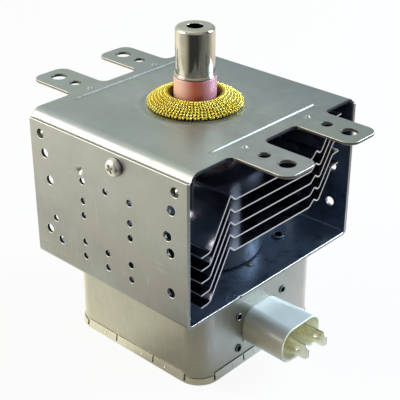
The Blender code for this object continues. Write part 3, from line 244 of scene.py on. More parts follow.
zincLook = {
    "dark": (0.235, 0.246, 0.232), "light": (0.318, 0.330, 0.316), "bare": (0.54, 0.54, 0.51),
    "stain": (0.300, 0.268, 0.252), "stained": 0.45, "stainLay": (0.6, 0.6, 1.6),
    "cloudSize": 13.0, "rolling": (1.0, 1.0, 0.06),
    "scratches": (1.0, 0.10, 0.55), "crossed": (1.0, 0.7, 0.05),
    "wear": 0.15, "rough": 0.38, "swaySize": 30.0, "sway": 0.16, "grainDepth": 0.010,
    # painted light: the walls are painted brighter towards their top
    "paintedLight": (yokeZ, wallTop, 0.55, (0.57, 0.585, 0.545)),        # from this height to that one
}
# painted light: a bluish copy of the zinc for the inside faces, for the cool light inside the yoke
coolLitZincLook = without(zincLook, "paintedLight") | {
    "dark": (0.27, 0.35, 0.46), "light": (0.37, 0.46, 0.57), "bare": (0.50, 0.57, 0.63),
    "stain": (0.24, 0.32, 0.40), "rough": 0.30, "wear": 0.12, "sway": 0.08, "grainDepth": 0.003,
}
plateLook = {
    "dark": (0.350, 0.365, 0.360), "light": (0.430, 0.440, 0.430), "bare": (0.46, 0.49, 0.48),
    "stain": (0.350, 0.375, 0.330), "stained": 0.6, "stainLay": (1.0, 0.5, 1.0),
    "ring": (19.3, 21.6, 1.5, 0.12),        # inner and outer radius, slope and depth
    "cloudSize": 18.0, "rolling": (1.0, 0.06, 1.0), "scratches": (0.10, 0.6, 1.0), "crossed": (0.6, 0.06, 1.0),
    "wear": 0.30, "rough": 0.42, "swaySize": 40.0, "sway": 0.12, "grainDepth": 0.006,
    # painted highlight: the folded sides painted brighter and creamier just below the bend
    "paintedLight": (plateZ - 1.6, plateZ - 3.2, 0.9, (0.97, 0.96, 0.86)),
    # painted shade: the plate painted darker towards +X
    "fade": (0.0, 46.0, 0.75, (0.270, 0.300, 0.320)),      # from this place along X to that one
}
# painted shade: a darker, bluish copy of the plate's finish for its underside and inner faces
shadedPlateLook = without(plateLook, "ring", "fade", "paintedLight") | {
    "dark": (0.20, 0.24, 0.31), "light": (0.29, 0.34, 0.42), "bare": (0.40, 0.45, 0.52),
    "stain": (0.18, 0.22, 0.29), "rough": 0.34,
}
boxLook = {
    "dark": (0.340, 0.335, 0.275), "light": (0.425, 0.415, 0.355), "bare": (0.60, 0.58, 0.50),
    "stain": (0.460, 0.410, 0.350), "stained": 0.5, "stainLay": (0.7, 0.7, 1.4),
    "cloudSize": 20.0, "rolling": (1.0, 1.0, 0.08),
    "scratches": (0.5, 0.5, 0.08), "crossed": (0.12, 0.12, 1.0),
    "wear": 0.30, "rough": 0.37, "swaySize": 30.0, "sway": 0.10, "grainDepth": 0.006,
    # painted light: the sides painted lighter lower down and darker up near the yoke
    "paintedLight": (32.0, 8.0, 0.22, (0.56, 0.55, 0.44)),
}
coverLook = boxLook | {
    "dark": (0.57, 0.56, 0.46), "light": (0.71, 0.70, 0.60), "stain": (0.50, 0.46, 0.40),
    # painted light, as on the box; the whole cover lies below both heights, so it is lightened all over
    "wear": 0.55, "paintedLight": (32.0, 8.0, 0.30, (0.66, 0.64, 0.50)),
}
finLook = {
    # painted reflection: the bluish tint stands in for the cool light that the fins mirror
    "dark": (0.50, 0.51, 0.58), "light": (0.58, 0.59, 0.66), "bare": (0.76, 0.77, 0.82),
    "stain": (0.58, 0.58, 0.68), "stained": 0.5, "stainLay": (1.0, 1.0, 1.0),
    "cloudSize": 14.0, "rolling": (0.05, 1.0, 1.0), "scratches": (0.8, 0.05, 0.8), "crossed": (0.08, 0.6, 0.3),
    "wear": 0.25, "rough": 0.15, "swaySize": 24.0, "sway": 0.05, "grainDepth": 0.002,
    # painted highlight patches: place along X at the front edge, half width, roughness and tone
    "drawn": (-20.0, 5.0, 0.45, (0.56, 0.55, 0.57)),
}


knitShade = (10.9, 10.2)        # from this radius in to that one, the gasket falls into its own shade


def makeKnitFinish():
    make = Finish("brassWire")
    drift = make.noise(5.0)
    fine = make.noise(0.35, 1.0)
    base = make.tint(make.step(drift + fine, 0.7, 1.3), (0.96, 0.72, 0.06), (1.0, 0.92, 0.27))
    base = make.tint(make.inward(*knitShade) * 0.9, base, (0.16, 0.10, 0.02))
    rough = make.step(fine, 0.3, 0.7, 0.20, 0.34)
    return make.finish(Base_Color=base, Metallic=1.0, Roughness=rough, Normal=make.relief(fine, 0.02))


# painted shade: near-black brass for the core, standing in for the shaded inner layers of the knit
def makeShadedKnitCoreFinish():
    make = Finish("brassWireShadedCore")
    fine = make.noise(0.8)
    base = make.tint(make.step(fine, 0.35, 0.65), (0.034, 0.024, 0.003), (0.095, 0.070, 0.008))
    base = make.tint(make.inward(*knitShade), base, (0.010, 0.007, 0.003))
    return make.finish(Base_Color=base, Metallic=0.4, Roughness=0.6, Normal=make.relief(fine, 0.25))


def makePinkFinish():
    make = Finish("pinkAlumina")
    drift = make.noise(6.0)
    grain = make.noise(0.18)
    speck = make.step(make.cells(0.9), 0.10, 0.04)
    base = make.tint(make.step(drift * 0.7 + grain * 0.3, 0.35, 0.65), (0.86, 0.17, 0.11), (0.94, 0.23, 0.16))
    # painted light: paler on the side lit by the warm lamp and more purple on the side lit by the cool one
    paintedLightSide = make.vector("DOT_PRODUCT", make.stretched((1.0, 1.0, 0.0)), leftward, "Value")
    base = make.tint(make.step(paintedLightSide, 0.0, 5.0 * mm), base, (1.0, 0.62, 0.48))
    base = make.tint(make.step(paintedLightSide, -0.5 * mm, -6.0 * mm), base, (0.76, 0.32, 0.38))
    base = make.tint(speck * 0.30, base, (0.52, 0.20, 0.15))
    rough = make.step(grain, 0.3, 0.7, 0.30, 0.42)
    normal = make.relief(grain, 0.010)
    return make.finish(Base_Color=base, Roughness=rough, Specular_IOR_Level=0.9, Normal=normal)


def makeWhiteCeramicFinish():
    make = Finish("whiteAlumina")
    grain = make.noise(0.2)
    base = make.tint(make.step(make.noise(4.0), 0.3, 0.7), (0.80, 0.78, 0.73), (0.88, 0.87, 0.84))
    rough = make.step(grain, 0.3, 0.7, 0.38, 0.52)
    return make.finish(Base_Color=base, Roughness=rough, Normal=make.relief(grain, 0.012))


def makeCapFinish():
    # drawn stainless: fine lines round the axis and faint upright streaks
    make = Finish("capSteel")
    rings = make.noise(0.28, 2.0, (0.05, 0.05, 1.0))
    streak = make.noise(0.8, 2.0, (1.0, 1.0, 0.05))
    cloud = make.noise(5.0)
    base = make.tint(make.step(cloud * 0.6 + streak * 0.4, 0.3, 0.7), (0.50, 0.47, 0.39), (0.60, 0.57, 0.48))
    rough = make.step(cloud * 0.4 + rings * 0.6, 0.35, 0.65, 0.07, 0.12)
    return make.finish(Base_Color=base, Metallic=1.0, Roughness=rough, Normal=make.relief(rings, 0.0015))


def brightMetal(name, dark, light, rough, cloudSize=4.0):
    make = Finish(name)
    cloud = make.noise(cloudSize, 3.0)
    grain = make.noise(0.5)
    base = make.tint(make.step(cloud * 0.7 + grain * 0.3, 0.35, 0.65), dark, light)
    roughness = make.step(cloud * 0.5 + grain * 0.5, 0.35, 0.65, rough - 0.06, rough + 0.08)
    return make.finish(Base_Color=base, Metallic=1.0, Roughness=roughness, Normal=make.relief(grain, 0.01))


def makeFerriteFinish():
    make = Finish("ferrite")
    grind = make.noise(0.5, 2.0, (0.06, 1.0, 1.0))
    pits = make.step(make.cells(1.3), 0.16, 0.05)
    cloud = make.noise(7.0)
    shade = make.step(cloud * 0.6 + grind * 0.4, 0.35, 0.65)
    # painted reflection: the bluish tint stands in for the cool light that the ferrite mirrors
    base = make.tint(shade, (0.016, 0.019, 0.027), (0.034, 0.039, 0.052))
    base = make.tint(pits * 0.6, base, (0.015, 0.015, 0.017))
    rough = make.step(cloud, 0.3, 0.7, 0.42, 0.60)
    return make.finish(Base_Color=base, Roughness=rough, Normal=make.relief(grind * 0.6 - pits, 0.04))


def mouldedPlastic(name, dark, light, rough, coat=0.0, paintedTops=None, mouth=None):
    # tops and mouth are tones painted where it faces up and forward: painted light on the top and a painted
    # highlight on the mouth
    make = Finish(name)
    flow = make.noise(9.0)
    fine = make.noise(0.25)
    base = make.tint(make.step(flow, 0.35, 0.65), dark, light)
    if paintedTops:
        # painted light on the upward faces of the top, and a painted highlight on the faces turned forward
        upper = make.step(make.facingAxis(2), 0.1, 0.85) * make.step(make.along(2), 16 * mm, 21 * mm)
        base = make.tint(upper, base, paintedTops)
        base = make.tint(make.step(make.facingAxis(1), -0.3, -0.8), base, mouth)
    roughness = make.step(fine * 0.6 + flow * 0.4, 0.35, 0.65, rough - 0.05, rough + 0.06)
    normal = make.relief(fine, 0.008, 1.0, make.relief(make.noise(6.0, 1.0), 0.05))
    return make.finish(Base_Color=base, Roughness=roughness, Coat_Weight=coat, Coat_Roughness=0.15,
                       Normal=normal)


zincSteel = rolledSheet("zincSteel", zincLook)
plateSteel = rolledSheet("plateSteel", plateLook)
coolLitZinc = rolledSheet("zincSteelCoolLitInside", coolLitZincLook)
shadedPlateInside = rolledSheet("plateSteelShadedInside", shadedPlateLook)
tinnedSteel = rolledSheet("tinnedSteel", boxLook)
coverSteel = rolledSheet("coverSteel", coverLook)
finSheet = rolledSheet("finAluminium", finLook)
zincRim = cutEdge("zincRim", (0.21, 0.20, 0.18), (0.33, 0.32, 0.29), 0.40)
# painted highlights: the yoke's rounded edges painted much brighter than its sheet
zincEdgeHighlight = cutEdge("zincEdgeHighlight", (0.50, 0.50, 0.46), (0.72, 0.71, 0.66), 0.32)
plateRim = cutEdge("plateRim", (0.15, 0.14, 0.11), (0.28, 0.26, 0.21), 0.48)
# painted highlight: the plate's rounded edges painted brighter than its sheet
plateEdgeHighlight = cutEdge("plateEdgeHighlight", (0.38, 0.37, 0.32), (0.53, 0.52, 0.46), 0.42)
shadedRim = cutEdge("shadedRim", (0.020, 0.022, 0.026), (0.045, 0.048, 0.055), 0.50)
# painted shade: the bores of holes painted dark
shadedHoleRim = cutEdge("shadedHoleRim", (0.09, 0.09, 0.08), (0.19, 0.19, 0.16), 0.44)
finRim = cutEdge("finRim", (0.60, 0.57, 0.57), (0.78, 0.75, 0.74), 0.40)
knitWire = makeKnitFinish()
shadedKnitCore = makeShadedKnitCoreFinish()
pinkAlumina = makePinkFinish()
whiteAlumina = makeWhiteCeramicFinish()
capSteel = makeCapFinish()
ferrite = makeFerriteFinish()
screwSteel = brightMetal("screwSteel", (0.50, 0.49, 0.42), (0.70, 0.69, 0.62), 0.27)
sealSteel = brightMetal("sealSteel", (0.42, 0.41, 0.39), (0.56, 0.55, 0.52), 0.32)
copper = brightMetal("copper", (0.42, 0.18, 0.10), (0.70, 0.36, 0.22), 0.34, cloudSize=6.0)
# painted shade: near black, so the tube shows dark in the cap's hole
darkCopper = brightMetal("darkCopper", (0.035, 0.020, 0.014), (0.090, 0.048, 0.030), 0.50)
tungsten = brightMetal("tungsten", (0.20, 0.20, 0.21), (0.32, 0.32, 0.33), 0.42)
tabBrass = brightMetal("tabBrass", (0.92, 0.86, 0.64), (1.0, 0.95, 0.76), 0.30)
tabRim = brightMetal("tabRim", (0.36, 0.32, 0.22), (0.50, 0.45, 0.32), 0.36)
# painted light: bluish like the inside of the yoke, for the cool light there
rivetSteel = brightMetal("rivetSteel", (0.16, 0.20, 0.24), (0.26, 0.31, 0.36), 0.34)
eyeletSteel = brightMetal("eyeletSteel", (0.22, 0.22, 0.205), (0.29, 0.29, 0.27), 0.40)
# painted light: darker olive sides, with a lighter bluish top and a pale mouth painted on
creamPlastic = mouldedPlastic("creamPlastic", (0.46, 0.44, 0.30), (0.55, 0.52, 0.37), 0.30, 0.35,
                              (0.80, 0.84, 0.77), (0.98, 0.95, 0.72))
creamInside = mouldedPlastic("creamPlasticInside", (0.86, 0.84, 0.62), (0.94, 0.92, 0.72), 0.34, 0.2)
brownPlastic = mouldedPlastic("brownPlastic", (0.075, 0.045, 0.030), (0.115, 0.070, 0.048), 0.45)
print("finishes made")


# Mesh helpers

def arcCorner(before, corner, after, radius, steps):
    into = (before - corner).normalized()
    out = (after - corner).normalized()
    half = into.angle(out) / 2
    middle = corner + (into + out).normalized() * (radius / sin(half))
    reach = radius / tan(half)
    start = corner + into * reach - middle
    end = corner + out * reach - middle
    turn = start.angle(end)
    return [middle + (start * sin((1 - step / steps) * turn) + end * sin(step / steps * turn)) / sin(turn)
            for step in range(steps + 1)]


def roundedPath(corners, steps=6):      # a closed outline; each corner is (x, y, radius), and 0 keeps it sharp
    points = []
    for index, (x, y, radius) in enumerate(corners):
        corner = Vector((x, y))
        if radius:
            before = Vector(corners[index - 1][:2])
            after = Vector(corners[(index + 1) % len(corners)][:2])
            points.extend(arcCorner(before, corner, after, radius, steps))
        else:
            points.append(corner)
    return points


def roundedRectangle(width, height, radius, steps=6):
    x, y = width / 2, height / 2
    return roundedPath([(-x, -y, radius), (x, -y, radius), (x, y, radius), (-x, y, radius)], steps)


def cornersAt(x, y):        # the four corners of an upright rectangle about the middle
    return [(cornerX, cornerY) for cornerX in (-x, x) for cornerY in (-y, y)]


def spokes(steps):       # points on a circle of radius 1
    return [(cos(2 * pi * k / steps), sin(2 * pi * k / steps)) for k in range(steps)]


def ringPath(radius, centre, steps=28):
    return [Vector((centre[0] + radius * x, centre[1] + radius * y)) for x, y in spokes(steps)]


def addObject(name, data):
    obj = bpy.data.objects.new(name, data)
    bpy.context.scene.collection.objects.link(obj)
    return obj


def evaluatedMesh(obj):
    depsgraph = bpy.context.evaluated_depsgraph_get()
    return bpy.data.meshes.new_from_object(obj.evaluated_get(depsgraph), depsgraph=depsgraph)


def addLoop(curve, points):
    spline = curve.splines.new("POLY")
    spline.points.add(len(points) - 1)
    spline.use_cyclic_u = True
    for point, place in zip(spline.points, points):
        point.co = (*place, 1)


def curveMesh(curve):       # the mesh of a curve, which is then removed
    carrier = addObject("curve", curve)
    mesh = evaluatedMesh(carrier)
    bpy.data.objects.remove(carrier)
    bpy.data.curves.remove(curve)
    return mesh


def flatBlank(outlines, sheet, rim=0.10, steps=1, bore=1, bored=(1,)):
    # a flat sheet with rounded rims: the first outline is its edge and the others its holes; where the hole
    # rims have a material in bored, they take material bore
    curve = bpy.data.curves.new("blank", "CURVE")
    curve.dimensions = "2D"
    curve.fill_mode = "BOTH"
    curve.extrude = sheet / 2 - rim
    curve.bevel_depth = rim
    curve.bevel_resolution = steps
    curve.offset = -rim
    for outline in outlines:
        addLoop(curve, [(corner[0], corner[1], 0) for corner in outline])
    mesh = curveMesh(curve)
    bm = bmesh.new()
    bm.from_mesh(mesh)
    bpy.data.meshes.remove(mesh)
    bmesh.ops.remove_doubles(bm, verts=bm.verts, dist=0.002)
    for face in bm.faces:       # outside, rim, rounded edge of the rim, inside
        up = face.normal.z
        face.material_index = 1 if abs(up) < 0.05 else 0 if up > 0.999 else 3 if up < -0.999 else 2
    for hole in outlines[1:]:
        centre = sum((Vector((x, y)) for x, y in hole), Vector((0, 0))) / len(hole)
        reach = (Vector(hole[0]) - centre).length + 0.1 + rim
        for face in bm.faces:
            if face.material_index in bored and (face.calc_center_median().xy - centre).length < reach:
                face.material_index = bore
    return bm


def turned(vector, turn):
    x, y = vector
    return Vector((x * cos(turn) - y * sin(turn), x * sin(turn) + y * cos(turn)))


class Fold:     # a folded line in X and Z; a flat blank is laid along it with its outside on the right
    def __init__(self, corners, arcSteps=5):
        self.parts = []
        self.breaks = []
        length = 0.0
        points = [Vector(corner[:2]) for corner in corners]
        start = points[0]
        for index in range(1, len(corners)):
            radius = corners[index][2]
            corner = points[index]
            along = (corner - points[index - 1]).normalized()
            if index == len(corners) - 1 or radius == 0:
                self.parts.append((length, (corner - start).length, start, along, 0.0, None))
                length += (corner - start).length
                start = corner
                if index < len(corners) - 1:
                    self.breaks.append(length)
                continue
            onward = (points[index + 1] - corner).normalized()
            turn = atan2(along.x * onward.y - along.y * onward.x, along.dot(onward))
            reach = radius * tan(abs(turn) / 2)
            bendStart = corner - along * reach
            self.parts.append((length, (bendStart - start).length, start, along, 0.0, None))
            length += (bendStart - start).length
            side = 1 if turn > 0 else -1
            middle = bendStart + Vector((-along.y, along.x)) * side * radius
            arc = radius * abs(turn)
            self.parts.append((length, arc, bendStart, along, side / radius, middle))
            self.breaks += [length + arc * step / arcSteps for step in range(arcSteps + 1)]
            length += arc
            start = corner + onward * reach
        self.length = length

    def at(self, u):        # the point at length u, and the outward direction there
        for begin, span, start, along, bend, middle in self.parts:
            if u <= begin + span + 1e-9:
                break
        if not bend:
            return start + along * (u - begin), Vector((along.y, -along.x))
        turn = (u - begin) * bend
        spoke = start - middle
        heading = turned(along, turn)
        return middle + turned(spoke, turn), Vector((heading.y, -heading.x))

    def lengthAt(self, x):      # where the line, which runs on along X, crosses x
        low, high = 0.0, self.length
        rising = self.at(high)[0].x > self.at(low)[0].x
        for _ in range(50):
            middle = (low + high) / 2
            if (self.at(middle)[0].x < x) == rising:
                low = middle
            else:
                high = middle
        return (low + high) / 2

    def lay(self, bm, sheet):
        for cut in self.breaks:
            geometry = list(bm.verts) + list(bm.edges) + list(bm.faces)
            bmesh.ops.bisect_plane(bm, geom=geometry, dist=0.0005, plane_co=(cut, 0, 0), plane_no=(1, 0, 0))
        for vert in bm.verts:
            point, outward = self.at(min(max(vert.co.x, 0.0), self.length))
            place = point + outward * (vert.co.z - sheet / 2)
            vert.co = (place.x, vert.co.y, place.y)
        bmesh.ops.reverse_faces(bm, faces=bm.faces)


def turnedForm(bm, profile, steps, place=None):
    # turns a profile of (radius, z) about Z; where it doesn't end on the axis, its ends are joined
    place = place or Matrix.Identity(4)
    rings = []
    for radius, z in profile:
        around = [(0, 0)] if radius < 1e-6 else spokes(steps)
        rings.append([bm.verts.new(place @ Vector((radius * x, radius * y, z))) for x, y in around])
    closed = len(rings[0]) > 1 and len(rings[-1]) > 1
    for upper, lower in list(zip(rings, rings[1:])) + ([(rings[-1], rings[0])] if closed else []):
        for k in range(steps):
            after = (k + 1) % steps
            if len(upper) == 1:
                bm.faces.new((upper[0], lower[k], lower[after]))
            elif len(lower) == 1:
                bm.faces.new((upper[k], lower[0], upper[after]))
            else:
                bm.faces.new((upper[k], lower[k], lower[after], upper[after]))


def softProfile(corners, steps=4):      # rounds the corners of a closed profile; each is (radius, z, rounding)
    return [(point.x, point.y) for point in roundedPath(corners, steps)]


pipTurns = {
    "Z": Matrix.Identity(4), "X": Matrix.Rotation(pi / 2, 4, "Y"), "-X": Matrix.Rotation(-pi / 2, 4, "Y"),
    "-Y": Matrix.Rotation(pi / 2, 4, "X"),
}


def dome(bm, centre, radius, height, facing="Z", rings=6, steps=24):
    # a stamped pip that runs out smoothly into the sheet; a negative height presses it in
    profile = [(radius * ring / rings, height * (1 + cos(pi * ring / rings)) / 2) for ring in range(rings + 1)]
    turnedForm(bm, profile, steps, Matrix.Translation(centre) @ pipTurns[facing])


def addPiece(name, bm, materials, node, angle=38, recalc=False):
    # makes a piece of the mesh; faces that meet at more than this angle keep a sharp edge
    if recalc:
        bmesh.ops.recalc_face_normals(bm, faces=bm.faces)
    bmesh.ops.scale(bm, vec=(mm, mm, mm), verts=bm.verts)
    mesh = bpy.data.meshes.new(name)
    bm.to_mesh(mesh)
    bm.free()
    for material in materials:
        mesh.materials.append(material)
    mesh.shade_smooth()
    mesh.set_sharp_from_angle(angle=radians(angle))
    piece = addObject(name, mesh)
    shade = piece.modifiers.new("shade", "WEIGHTED_NORMAL")
    shade.keep_sharp = True
    shade.weight = 80
    settle(piece, node)


def settle(piece, node):
    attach(piece, "root")
    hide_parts(node)


def cutAway(bm, cutter):
    # cuts one closed mesh out of another and gives back the result
    carriers = []
    for label, source in (("stock", bm), ("cutter", cutter)):
        mesh = bpy.data.meshes.new(label)
        source.to_mesh(mesh)
        source.free()
        carriers.append(addObject(label, mesh))
    boolean = carriers[0].modifiers.new("cut", "BOOLEAN")
    boolean.operation = "DIFFERENCE"
    boolean.solver = "EXACT"
    boolean.object = carriers[1]
    mesh = evaluatedMesh(carriers[0])
    result = bmesh.new()
    result.from_mesh(mesh)
    bpy.data.meshes.remove(mesh)
    for carrier in carriers:
        bpy.data.objects.remove(carrier)
    return result


def loft(bm, rings, capStart=True, capEnd=True, material=0):
    loops = [[bm.verts.new(point) for point in ring] for ring in rings]
    for first, second in zip(loops, loops[1:]):
        for k in range(len(first)):
            after = (k + 1) % len(first)
            bm.faces.new((first[k], first[after], second[after], second[k])).material_index = material
    if capStart:
        bm.faces.new(loops[0][::-1])
    if capEnd:
        bm.faces.new(loops[-1])
    return loops
# Yoke

yoke = {
    "width": 95.0, "depth": 81.6, "sheet": 1.3, "bend": 2.2, "hole": 1.35, "wideHole": 1.9, "columns": 12.4,
    "rowsOfThree": (20.1, 45.7, 51.9), "rowsOfTwo": (28.3, 34.4),       # below the mounting plate's top
    "edgeHoles": ((5.9, 7.9), (7.7, 15.4), (9.7, 26.1)),                # in from the edge, and below
    "frontHoles": ((8.3, 32.4), (8.3, 48.7)), "backHoles": ((7.8, 47.8),),
    "smallBackHoles": ((1.35, 11.7, 41.7), (1.75, 14.6, 50.3)),
    "rivet": (25.4, 22.5), "rivetHole": 2.4, "shellHole": 9.7,
    "screwHole": 2.15, "screwY": -6.2, "screwDrop": 7.9,
    "corner": 0.5, "nub": (28.8, 1.9, 0.6),       # place along Y, radius and height of the nubs on its floor
    "dimple": (13.3, 15.8), "dimpleRadius": 1.7, "dimpleDepth": 0.9,
    "nick": (-19.4, 0.9, 0.45),      # place along X, width and depth of the nick in its lower front edge
}


def wallHoles(side):
    edge = yoke["depth"] / 2
    holes = []
    for drops, columns in ((yoke["rowsOfThree"], (-1, 0, 1)), (yoke["rowsOfTwo"], (-1, 1))):
        holes += [(yoke["hole"], column * yoke["columns"], drop) for drop in drops for column in columns]
    for end in (-1, 1):
        holes += [(yoke["wideHole"], end * (edge - inset), drop) for inset, drop in yoke["edgeHoles"]]
    holes += [(yoke["wideHole"], inset - edge, drop) for inset, drop in yoke["frontHoles"]]
    holes += [(yoke["wideHole"], edge - inset, drop) for inset, drop in yoke["backHoles"]]
    holes += [(radius, edge - inset, drop) for radius, inset, drop in yoke["smallBackHoles"]]
    holes.append((yoke["screwHole"], yoke["screwY"], yoke["screwDrop"]))
    if side < 0:
        holes.append((yoke["dimpleRadius"], yoke["dimple"][0], yoke["dimple"][1]))
    return holes


def makeYoke():
    half, sheet, edge = yoke["width"] / 2, yoke["sheet"], yoke["depth"] / 2
    bend = yoke["bend"]
    fold = Fold([(-half, wallTop, 0), (-half, yokeZ, bend), (half, yokeZ, bend), (half, wallTop, 0)], 7)
    length = fold.length
    nickX, nickWidth, nickDepth = yoke["nick"]
    nick = length / 2 + nickX
    corner = yoke["corner"]
    narrow, deep = nickWidth * 0.7, nickDepth - edge
    outline = roundedPath([(0, -edge, corner), (nick - nickWidth, -edge, 0), (nick - narrow, deep, 0),
                           (nick + narrow, deep, 0), (nick + nickWidth, -edge, 0), (length, -edge, corner),
                           (length, edge, corner), (0, edge, corner)], 4)
    holes = []
    for side in (-1, 1):
        for radius, y, drop in wallHoles(side):
            u = wallTop - (plateZ - drop)
            holes.append(ringPath(radius, (u if side < 0 else length - u, y)))
    holes += [ringPath(yoke["rivetHole"], (length / 2 + x, y)) for x, y in cornersAt(*yoke["rivet"])]
    holes.append(ringPath(yoke["shellHole"], (length / 2, 0), 64))
    bm = flatBlank([outline] + holes, sheet, 0.20, 2, 4)
    fold.lay(bm, sheet)
    y, drop = yoke["dimple"]
    dome(bm, (0.20 - half, y, plateZ - drop), yoke["dimpleRadius"] + 0.02, -yoke["dimpleDepth"], "-X", 8, 32)
    nubY, nubRadius, nubHeight = yoke["nub"]
    for end in (-1, 1):
        dome(bm, (0, end * nubY, floorZ + 0.01), nubRadius, nubHeight)
    addPiece("yoke_sheet", bm, [zincSteel, zincRim, zincEdgeHighlight, coolLitZinc, shadedHoleRim], "yoke")


# Mounting plate

plate = {
    "depth": 82.0, "sheet": 1.2, "bend": 4.0, "flange": 13.0, "halfWidth": 45.9,
    "earX": 17.7, "earWidth": 16.8, "earReach": 65.7, "earRoot": 3.0, "earTip": 4.6,
    "boltHole": (3.0, 58.4), "pilotHole": (2.1, 48.5), "earPip": (1.5, 39.7, 1.05),
    "beadLength": 59.0, "beadWidth": 2.1, "beadHeight": 0.62, "beads": (-34.0, 36.2),
    "wallPip": (1.5, 34.9, 7.9, 1.0), "bump": (28.9, -35.9, 0.9, 0.35),
    "corner": 0.5, "ceramicHole": 9.7, "screwHole": 2.2,
    # Edges this far below its top, or this near its front and back, are shaded
    "shadedBelow": 2.4, "shadedWithin": 1.2,
}


def makePlate():
    reach, edge = plate["halfWidth"], plate["depth"] / 2
    low = plateZ - plate["flange"]
    bend = plate["bend"]
    fold = Fold([(reach, low, 0), (reach, plateZ, bend), (-reach, plateZ, bend), (-reach, low, 0)], 7)
    length = fold.length
    middle = length / 2
    near, far = plate["earX"] - plate["earWidth"] / 2, plate["earX"] + plate["earWidth"] / 2
    root, tip, earEnd = plate["earRoot"], plate["earTip"], -plate["earReach"]
    front = [(0, -edge, plate["corner"])]
    for start, end in ((-far, -near), (near, far)):
        front += [(middle + start, -edge, root), (middle + start, earEnd, tip),
                  (middle + end, earEnd, tip), (middle + end, -edge, root)]
    front.append((length, -edge, plate["corner"]))
    back = [(length - x, -y, radius) for x, y, radius in front]
    holes = [ringPath(radius, (middle + side * plate["earX"], end * y), 36)
             for radius, y in (plate["boltHole"], plate["pilotHole"]) for side in (-1, 1) for end in (-1, 1)]
    holes.append(ringPath(plate["ceramicHole"], (middle, 0), 64))
    holes += [ringPath(plate["screwHole"], (u, yoke["screwY"])) for u in (plate["flange"] - yoke["screwDrop"],
                                                           length - plate["flange"] + yoke["screwDrop"])]
    bm = flatBlank([roundedPath(front + back, 8)] + holes, plate["sheet"], 0.28, 3, 4, (1, 2))
    fold.lay(bm, plate["sheet"])
    for face in bm.faces:       # the ends of the folded sides and the roots of the ears lie in the shade
        centre = face.calc_center_median()
        shaded = centre.z < plateZ - plate["shadedBelow"] or abs(centre.y) < edge + plate["shadedWithin"]
        if shaded and face.material_index in (1, 2):
            face.material_index = 5
    pipRadius, pipY, pipHeight = plate["earPip"]
    wallRadius, wallY, wallDrop, wallHeight = plate["wallPip"]
    for side in (-1, 1):
        for end in (-1, 1):
            dome(bm, (side * plate["earX"], end * pipY, plateZ + 0.006), pipRadius * 1.2, pipHeight - 0.006)
            facing = "X" if side > 0 else "-X"
            spot = (side * (reach + 0.02), end * wallY, plateZ - wallDrop)
            dome(bm, spot, wallRadius * 1.15, wallHeight, facing)
    x, y, radius, height = plate["bump"]
    dome(bm, (x, y, plateZ + 0.006), radius, height)
    for y in plate["beads"]:
        addBead(bm, y)
    materials = [plateSteel, plateRim, plateEdgeHighlight, shadedPlateInside, shadedHoleRim, shadedRim]
    addPiece("mounting_plate_sheet", bm, materials, "mounting_plate")


def addBead(bm, y):
    # a pressed bead along X that fades out at both ends
    half, width, height = plate["beadLength"] / 2, plate["beadWidth"] / 2, plate["beadHeight"]
    rows = []
    for k in range(61):
        along = -half + 2 * half * k / 60
        fade = min(1.0, (half - abs(along)) / 1.1)
        lift = sin(fade * pi / 2)
        rows.append([bm.verts.new((along, y + width * (j / 5) * (0.55 + 0.45 * lift),
                                   plateZ + 0.006 + (height - 0.006) * lift * (1 + cos(pi * j / 5)) / 2))
                     for j in range(-5, 6)])
    for first, second in zip(rows, rows[1:]):
        for j in range(10):
            bm.faces.new((first[j], second[j], second[j + 1], first[j + 1]))


# Screws

screw = {
    "head": 3.5, "height": 2.58, "shank": 1.9, "length": 6.0, "point": 0.8, "pitch": 0.7, "seatX": 47.8,
    "slotWidth": 0.95, "slotReach": 2.05, "slotDepth": 1.5,
    # shares of the head's radius and height
    "crown": ((0, 1), (0.30, 0.99), (0.55, 0.95), (0.74, 0.86), (0.88, 0.70), (0.97, 0.48), (1, 0.30),
              (1, 0.06), (0.98, 0)),
}


def makeScrew(side):
    head, height, shank = (screw[key] for key in ("head", "height", "shank"))
    length, point, pitch = (screw[key] for key in ("length", "point", "pitch"))
    profile = [(head * across, height * up) for across, up in screw["crown"]] + [(shank, 0)]
    for k in range(int((length - point) / pitch)):
        turn = ((1, 0.15), (0.84, 0.5), (1, 0.85))      # crest, root and crest of one turn of the thread
        profile += [(shank * share, -pitch * (k + down)) for share, down in turn]
    profile += [(shank, point - length), (shank * 0.6, -length), (0, -length)]
    bm = bmesh.new()
    turnedForm(bm, profile, 40)
    for turn in (0, pi / 2):
        blade = bmesh.new()
        reach, width = screw["slotReach"], screw["slotWidth"] / 2
        low = height - screw["slotDepth"] + (0.01 if turn else 0)
        top = height + 0.5
        outline = ((-reach, -width), (reach, -width), (reach, width), (-reach, width))
        foot = [Vector((x * 0.5, y * 0.7, low)) for x, y in outline]
        loft(blade, [foot, [Vector((x, y, top)) for x, y in outline]])
        bmesh.ops.transform(blade, matrix=Matrix.Rotation(turn + 0.5, 4, "Z"), verts=blade.verts)
        bm = cutAway(bm, blade)
    seat = Matrix.Translation((side * screw["seatX"], yoke["screwY"], plateZ - yoke["screwDrop"]))
    bmesh.ops.transform(bm, matrix=seat @ Matrix.Rotation(side * pi / 2, 4, "Y"), verts=bm.verts)
    label = "left" if side < 0 else "right"
    addPiece("screw_" + label + "_pan_head", bm, [screwSteel], "screw_" + label, 32)


# Fins

fins = {
    "count": 5, "pitch": 5.2, "sheet": 0.6, "depth": 79.6, "top": 69.05, "bore": 19.3, "collar": 2.1,
    # across, height and bend
    "corners": ((-39.6, -16.4, 0), (-35.2, -16.0, 1.8), (-24.7, 2.6, 0.7), (-22.0, 0.0, 1.6), (22.0, 0.0, 1.6),
                (24.7, 2.6, 0.7), (27.4, 0.8, 1.0), (35.2, 12.8, 1.4), (39.6, 13.2, 0)),
}


